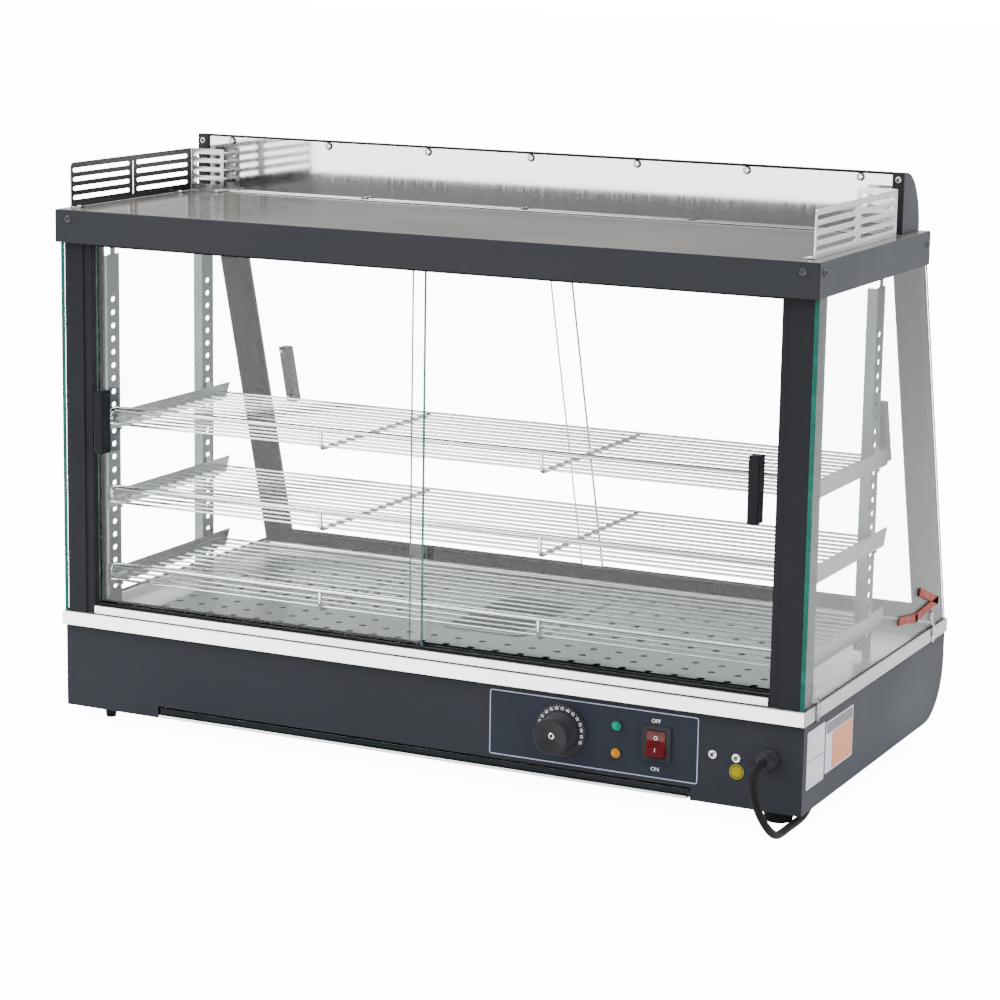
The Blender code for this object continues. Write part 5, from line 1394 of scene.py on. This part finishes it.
# The top face's paint is lighter and warmer than the sides': painted reflection of the room.
top_black = add_finish(
    "top_face_paint", skin, {"Grain": 1100, "Clouds": 4, "Specks": 260},
    ((0.018, 0.017, 0.016), (0.024, 0.022, 0.020)), (0.11, 0.16), 0.05, 0.00005,
    Specular_IOR_Level=0.46)


def on_cover_fold(middle):
    """Whether an edge lies on the cover's top, or on one of its upright corners."""
    at_end = middle.y < cover_low.y + touching or middle.y > cover_high.y - touching
    return middle.z > cover_high.z - touching or abs(middle.x) > cover_high.x - touching and at_end


cover = rounded_node("top_cover", cover_fold, cover_black, on_cover_fold, 4)
cover.materials.append(top_black)
for polygon in cover.polygons:
    if polygon.normal.z > 0.95 and polygon.center.z > cover_high.z - 0.0005:
        polygon.material_index = 1
add_piece("folded_top_cover", cover, "case", "black_paint", "top_cover")
refinish(cabinet_black, "ceiling_panel")
black_metal = add_finish(
    "black_screw_metal", skin, {"Grain": 700, "Clouds": 90},
    ((0.018, 0.018, 0.020), (0.05, 0.05, 0.055)), (0.22, 0.38), 0.2, Metallic=0.7)
black_screw = screw_mesh(0.0040, 0.0018)
heads = []
for x in (-cover_screw_x, cover_screw_x):
    heads.append(placed(black_screw, (x, cover_low.y, cover_screw_z), (0, -1, 0)))
    heads.append(placed(black_screw, (x, cover_high.y, cover_screw_z), (0, 1, 0)))
for y, z in ((-0.2177, 0.5770), (0.1084, 0.5740)):
    heads.append(placed(black_screw, (cover_high.x, y, z), (1, 0, 0)))
add_piece("cover_screws", dressed(joined(heads), black_metal, recess_shade), "case", "black_paint")

# Gallery rails: slotted stainless strips, folded once at the rear corner and once along their feet.
# They keep goods on the top, and small bright screws hold their foot tabs.
rail_sheet = 0.001
rail_slot_rows = 4
rail_slot_height = 0.0048
rail_slot_pitch = 0.0102
rail_first_drop = 0.0064
rail_margin = 0.0045
rail_bridge = 0.0155
rail_fold = 0.0025
rail_return = 0.046
rail_corner = 0.005
foot_size = 0.013
foot_corner = 0.003
quarter_steps = 6
gallery_steel = add_finish(
    "gallery_steel", lines, {"Along X": 5, "Along Y": 5}, ((0.62, 0.62, 0.62), (0.84, 0.84, 0.83)),
    (0.16, 0.28), 0.10, 0.0001, Metallic=1.0)
shaded_gallery = add_finish(
    "shaded_gallery_steel", lines, {"Along X": 5, "Along Y": 5},
    ((0.045, 0.047, 0.050), (0.085, 0.088, 0.092)), (0.20, 0.32), 0.10, 0.0001, Metallic=1.0)
tab_screw = screw_mesh(0.0030, 0.0014)
for hand, side in (("left", -1), ("right", 1)):
    gallery_low, gallery_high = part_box(f"gallery_rail_{hand}")
    rail_outer = max(abs(gallery_low.x), abs(gallery_high.x))
    front, rear = gallery_low.y, gallery_high.y - 0.0003
    outer_line, inner_line = [], []
    for step in range(quarter_steps + 1):
        angle = math.pi / 2 * step / quarter_steps
        for line, radius in ((outer_line, rail_fold), (inner_line, rail_fold - rail_sheet)):
            line.append((side * (rail_outer - rail_fold + radius * math.cos(angle)),
                         rear - rail_fold + radius * math.sin(angle)))
    return_x = side * (rail_outer - rail_return)
    path = [(side * rail_outer, front), *outer_line, (return_x, rear), (return_x, rear - rail_sheet),
            *inner_line[::-1], (side * (rail_outer - rail_sheet), front)]
    sheet = prism(path, "Z", gallery_low.z, gallery_high.z)
    middle_y = (front + rear) / 2
    edges = sorted((side * (rail_outer - 0.004), side * (rail_outer + 0.003)))
    ends = sorted((side * (rail_outer - 2 * rail_margin),
                   side * (rail_outer - rail_return + rail_margin)))
    runs = ((front + rail_margin, middle_y - rail_bridge / 2, "X", edges),
            (middle_y + rail_bridge / 2, rear - 2 * rail_margin, "X", edges),
            (*ends, "Y", (rear - 0.003, rear + 0.002)))
    slots = []
    for row in range(rail_slot_rows):
        top = gallery_high.z - rail_first_drop - row * rail_slot_pitch
        for start, end, axis, span in runs:
            outline = rounded_outline((start, top - rail_slot_height), (end, top),
                                      rail_slot_height * 0.48, 4)
            slots.append(prism(outline, axis, *span))
    slots.append(block((edges[0], middle_y - 0.0009, gallery_low.z + 0.0050),
                       (edges[1], middle_y + 0.0009, gallery_high.z - rail_first_drop)))
    snip = [(front - 0.001, gallery_high.z + 0.001), (front - 0.001, gallery_high.z - rail_corner)]
    for step in range(quarter_steps + 1):
        angle = math.pi / 2 * step / quarter_steps
        snip.append((front + rail_corner * (1 - math.cos(angle)),
                     gallery_high.z - rail_corner * (1 - math.sin(angle))))
    snip.append((front + rail_corner, gallery_high.z + 0.001))
    slots.append(prism(snip, "X", *edges))
    parts = [cut(sheet, slots)]
    screws = []
    half_sheet, rear_foot = rail_sheet / 2, rear - 0.042
    foot_tabs = (
        (half_sheet, foot_size, front, front + foot_size, 0.0070, front + foot_size / 2),
        (half_sheet, foot_size, rear_foot, rear_foot + foot_size, 0.0070, rear_foot + foot_size / 2),
        (rail_return - foot_size, rail_return, rear - foot_size, rear - half_sheet, 0.0395, rear - 0.0072))
    for near, far, start, end, screw_in, screw_y in foot_tabs:
        across = sorted((side * (rail_outer - near), side * (rail_outer - far)))
        foot = rounded_outline((across[0], start), (across[1], end), foot_corner, 4)
        parts.append(prism(foot, "Z", gallery_low.z, gallery_low.z + rail_sheet))
        screws.append((side * (rail_outer - screw_in), screw_y))
    rail = joined(parts)
    # The left rail's faces that point in towards the middle take near-black steel: painted shade.
    for polygon in rail.polygons:
        polygon.material_index = int(side < 0 and polygon.normal.x > 0.7)
    dressed(rail, gallery_steel, shaded_gallery)
    rail.shade_smooth()
    rail.set_sharp_from_angle(angle=0.5)
    add_piece(f"gallery_strip_{hand}", rail, "case", "stainless", f"gallery_rail_{hand}")
    heads = joined([placed(tab_screw, (x, y, gallery_low.z + rail_sheet), (0, 0, 1)) for x, y in screws])
    add_piece(f"gallery_screws_{hand}", dressed(heads, bright_plate, recess_shade), "case", "chrome")

# Header: a curved black shell with two end caps closes the customer side, and a stainless splash plate
# faces the operator. Seven black screws run along the plate's top and three along its foot flange.
header_low, header_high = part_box("header_shell")
splash_low, splash_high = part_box("backsplash")
splash_fold = 0.0009
screw_line = [-0.3960 + 0.1305 * index for index in range(7)]
screw_level = 0.6475
cap_screw_inset = 0.0068
cap_screw_level = 0.6465
foot_screws = (-0.2145, -0.0095, 0.1955)
foot_screw_inset = 0.0068
splash_steel = add_finish(
    "splash_steel", lines, {"Along X": 700, "Along Y": 700, "Along Z": 9, "Clouds": 6},
    ((0.78, 0.76, 0.73), (0.84, 0.82, 0.79)), (0.05, 0.09), 0.03, 0.0001, Metallic=1.0)
add_piece("header_casing", rounded_node("header_shell", 0.0008, cover_black, None, 2), "case",
          "black_paint", "header_shell")
add_piece("splash_plate", rounded_node("backsplash", splash_fold, splash_steel, None, 2), "case",
          "stainless", "backsplash")
dark_screw = screw_mesh(0.0046, 0.0020)
plate_face = splash_high.y - 0.001
heads = [placed(dark_screw, (x, plate_face, screw_level), (0, -1, 0)) for x in screw_line]
for x in foot_screws:
    place = (x, splash_low.y + foot_screw_inset, splash_low.z + 0.001)
    heads.append(placed(dark_screw, place, (0, 0, 1)))
# The black screws' cross recesses take bright plate: painted highlight.
add_piece("splash_screws", dressed(joined(heads), black_metal, bright_plate), "case", "black_paint")
cap_screw = screw_mesh(0.0034, 0.0018)
heads = [placed(cap_screw, (x, header_low.y, cap_screw_level), (0, -1, 0))
         for x in (header_low.x + cap_screw_inset, header_high.x - cap_screw_inset)]
add_piece("header_cap_screws", dressed(joined(heads), bright_plate, recess_shade), "case", "chrome")

# Power plug: a moulded black rubber body with softened edges and three plain brass pins.
pin_start = 0.2409
plug = rounded_node("power_plug", 0.0010, rubber, lambda middle: middle.x > pin_start)
brass = add_finish(
    "pin_brass", skin, {"Grain": 400, "Clouds": 60}, ((0.66, 0.48, 0.20), (0.80, 0.62, 0.32)),
    (0.18, 0.30), 0.08, Metallic=1.0)
plug.materials.append(brass)
for polygon in plug.polygons:
    if polygon.center.x < pin_start - 0.0004:
        polygon.material_index = 1
add_piece("moulded_plug", plug, "case", "black_rubber", "power_plug")

low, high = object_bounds()
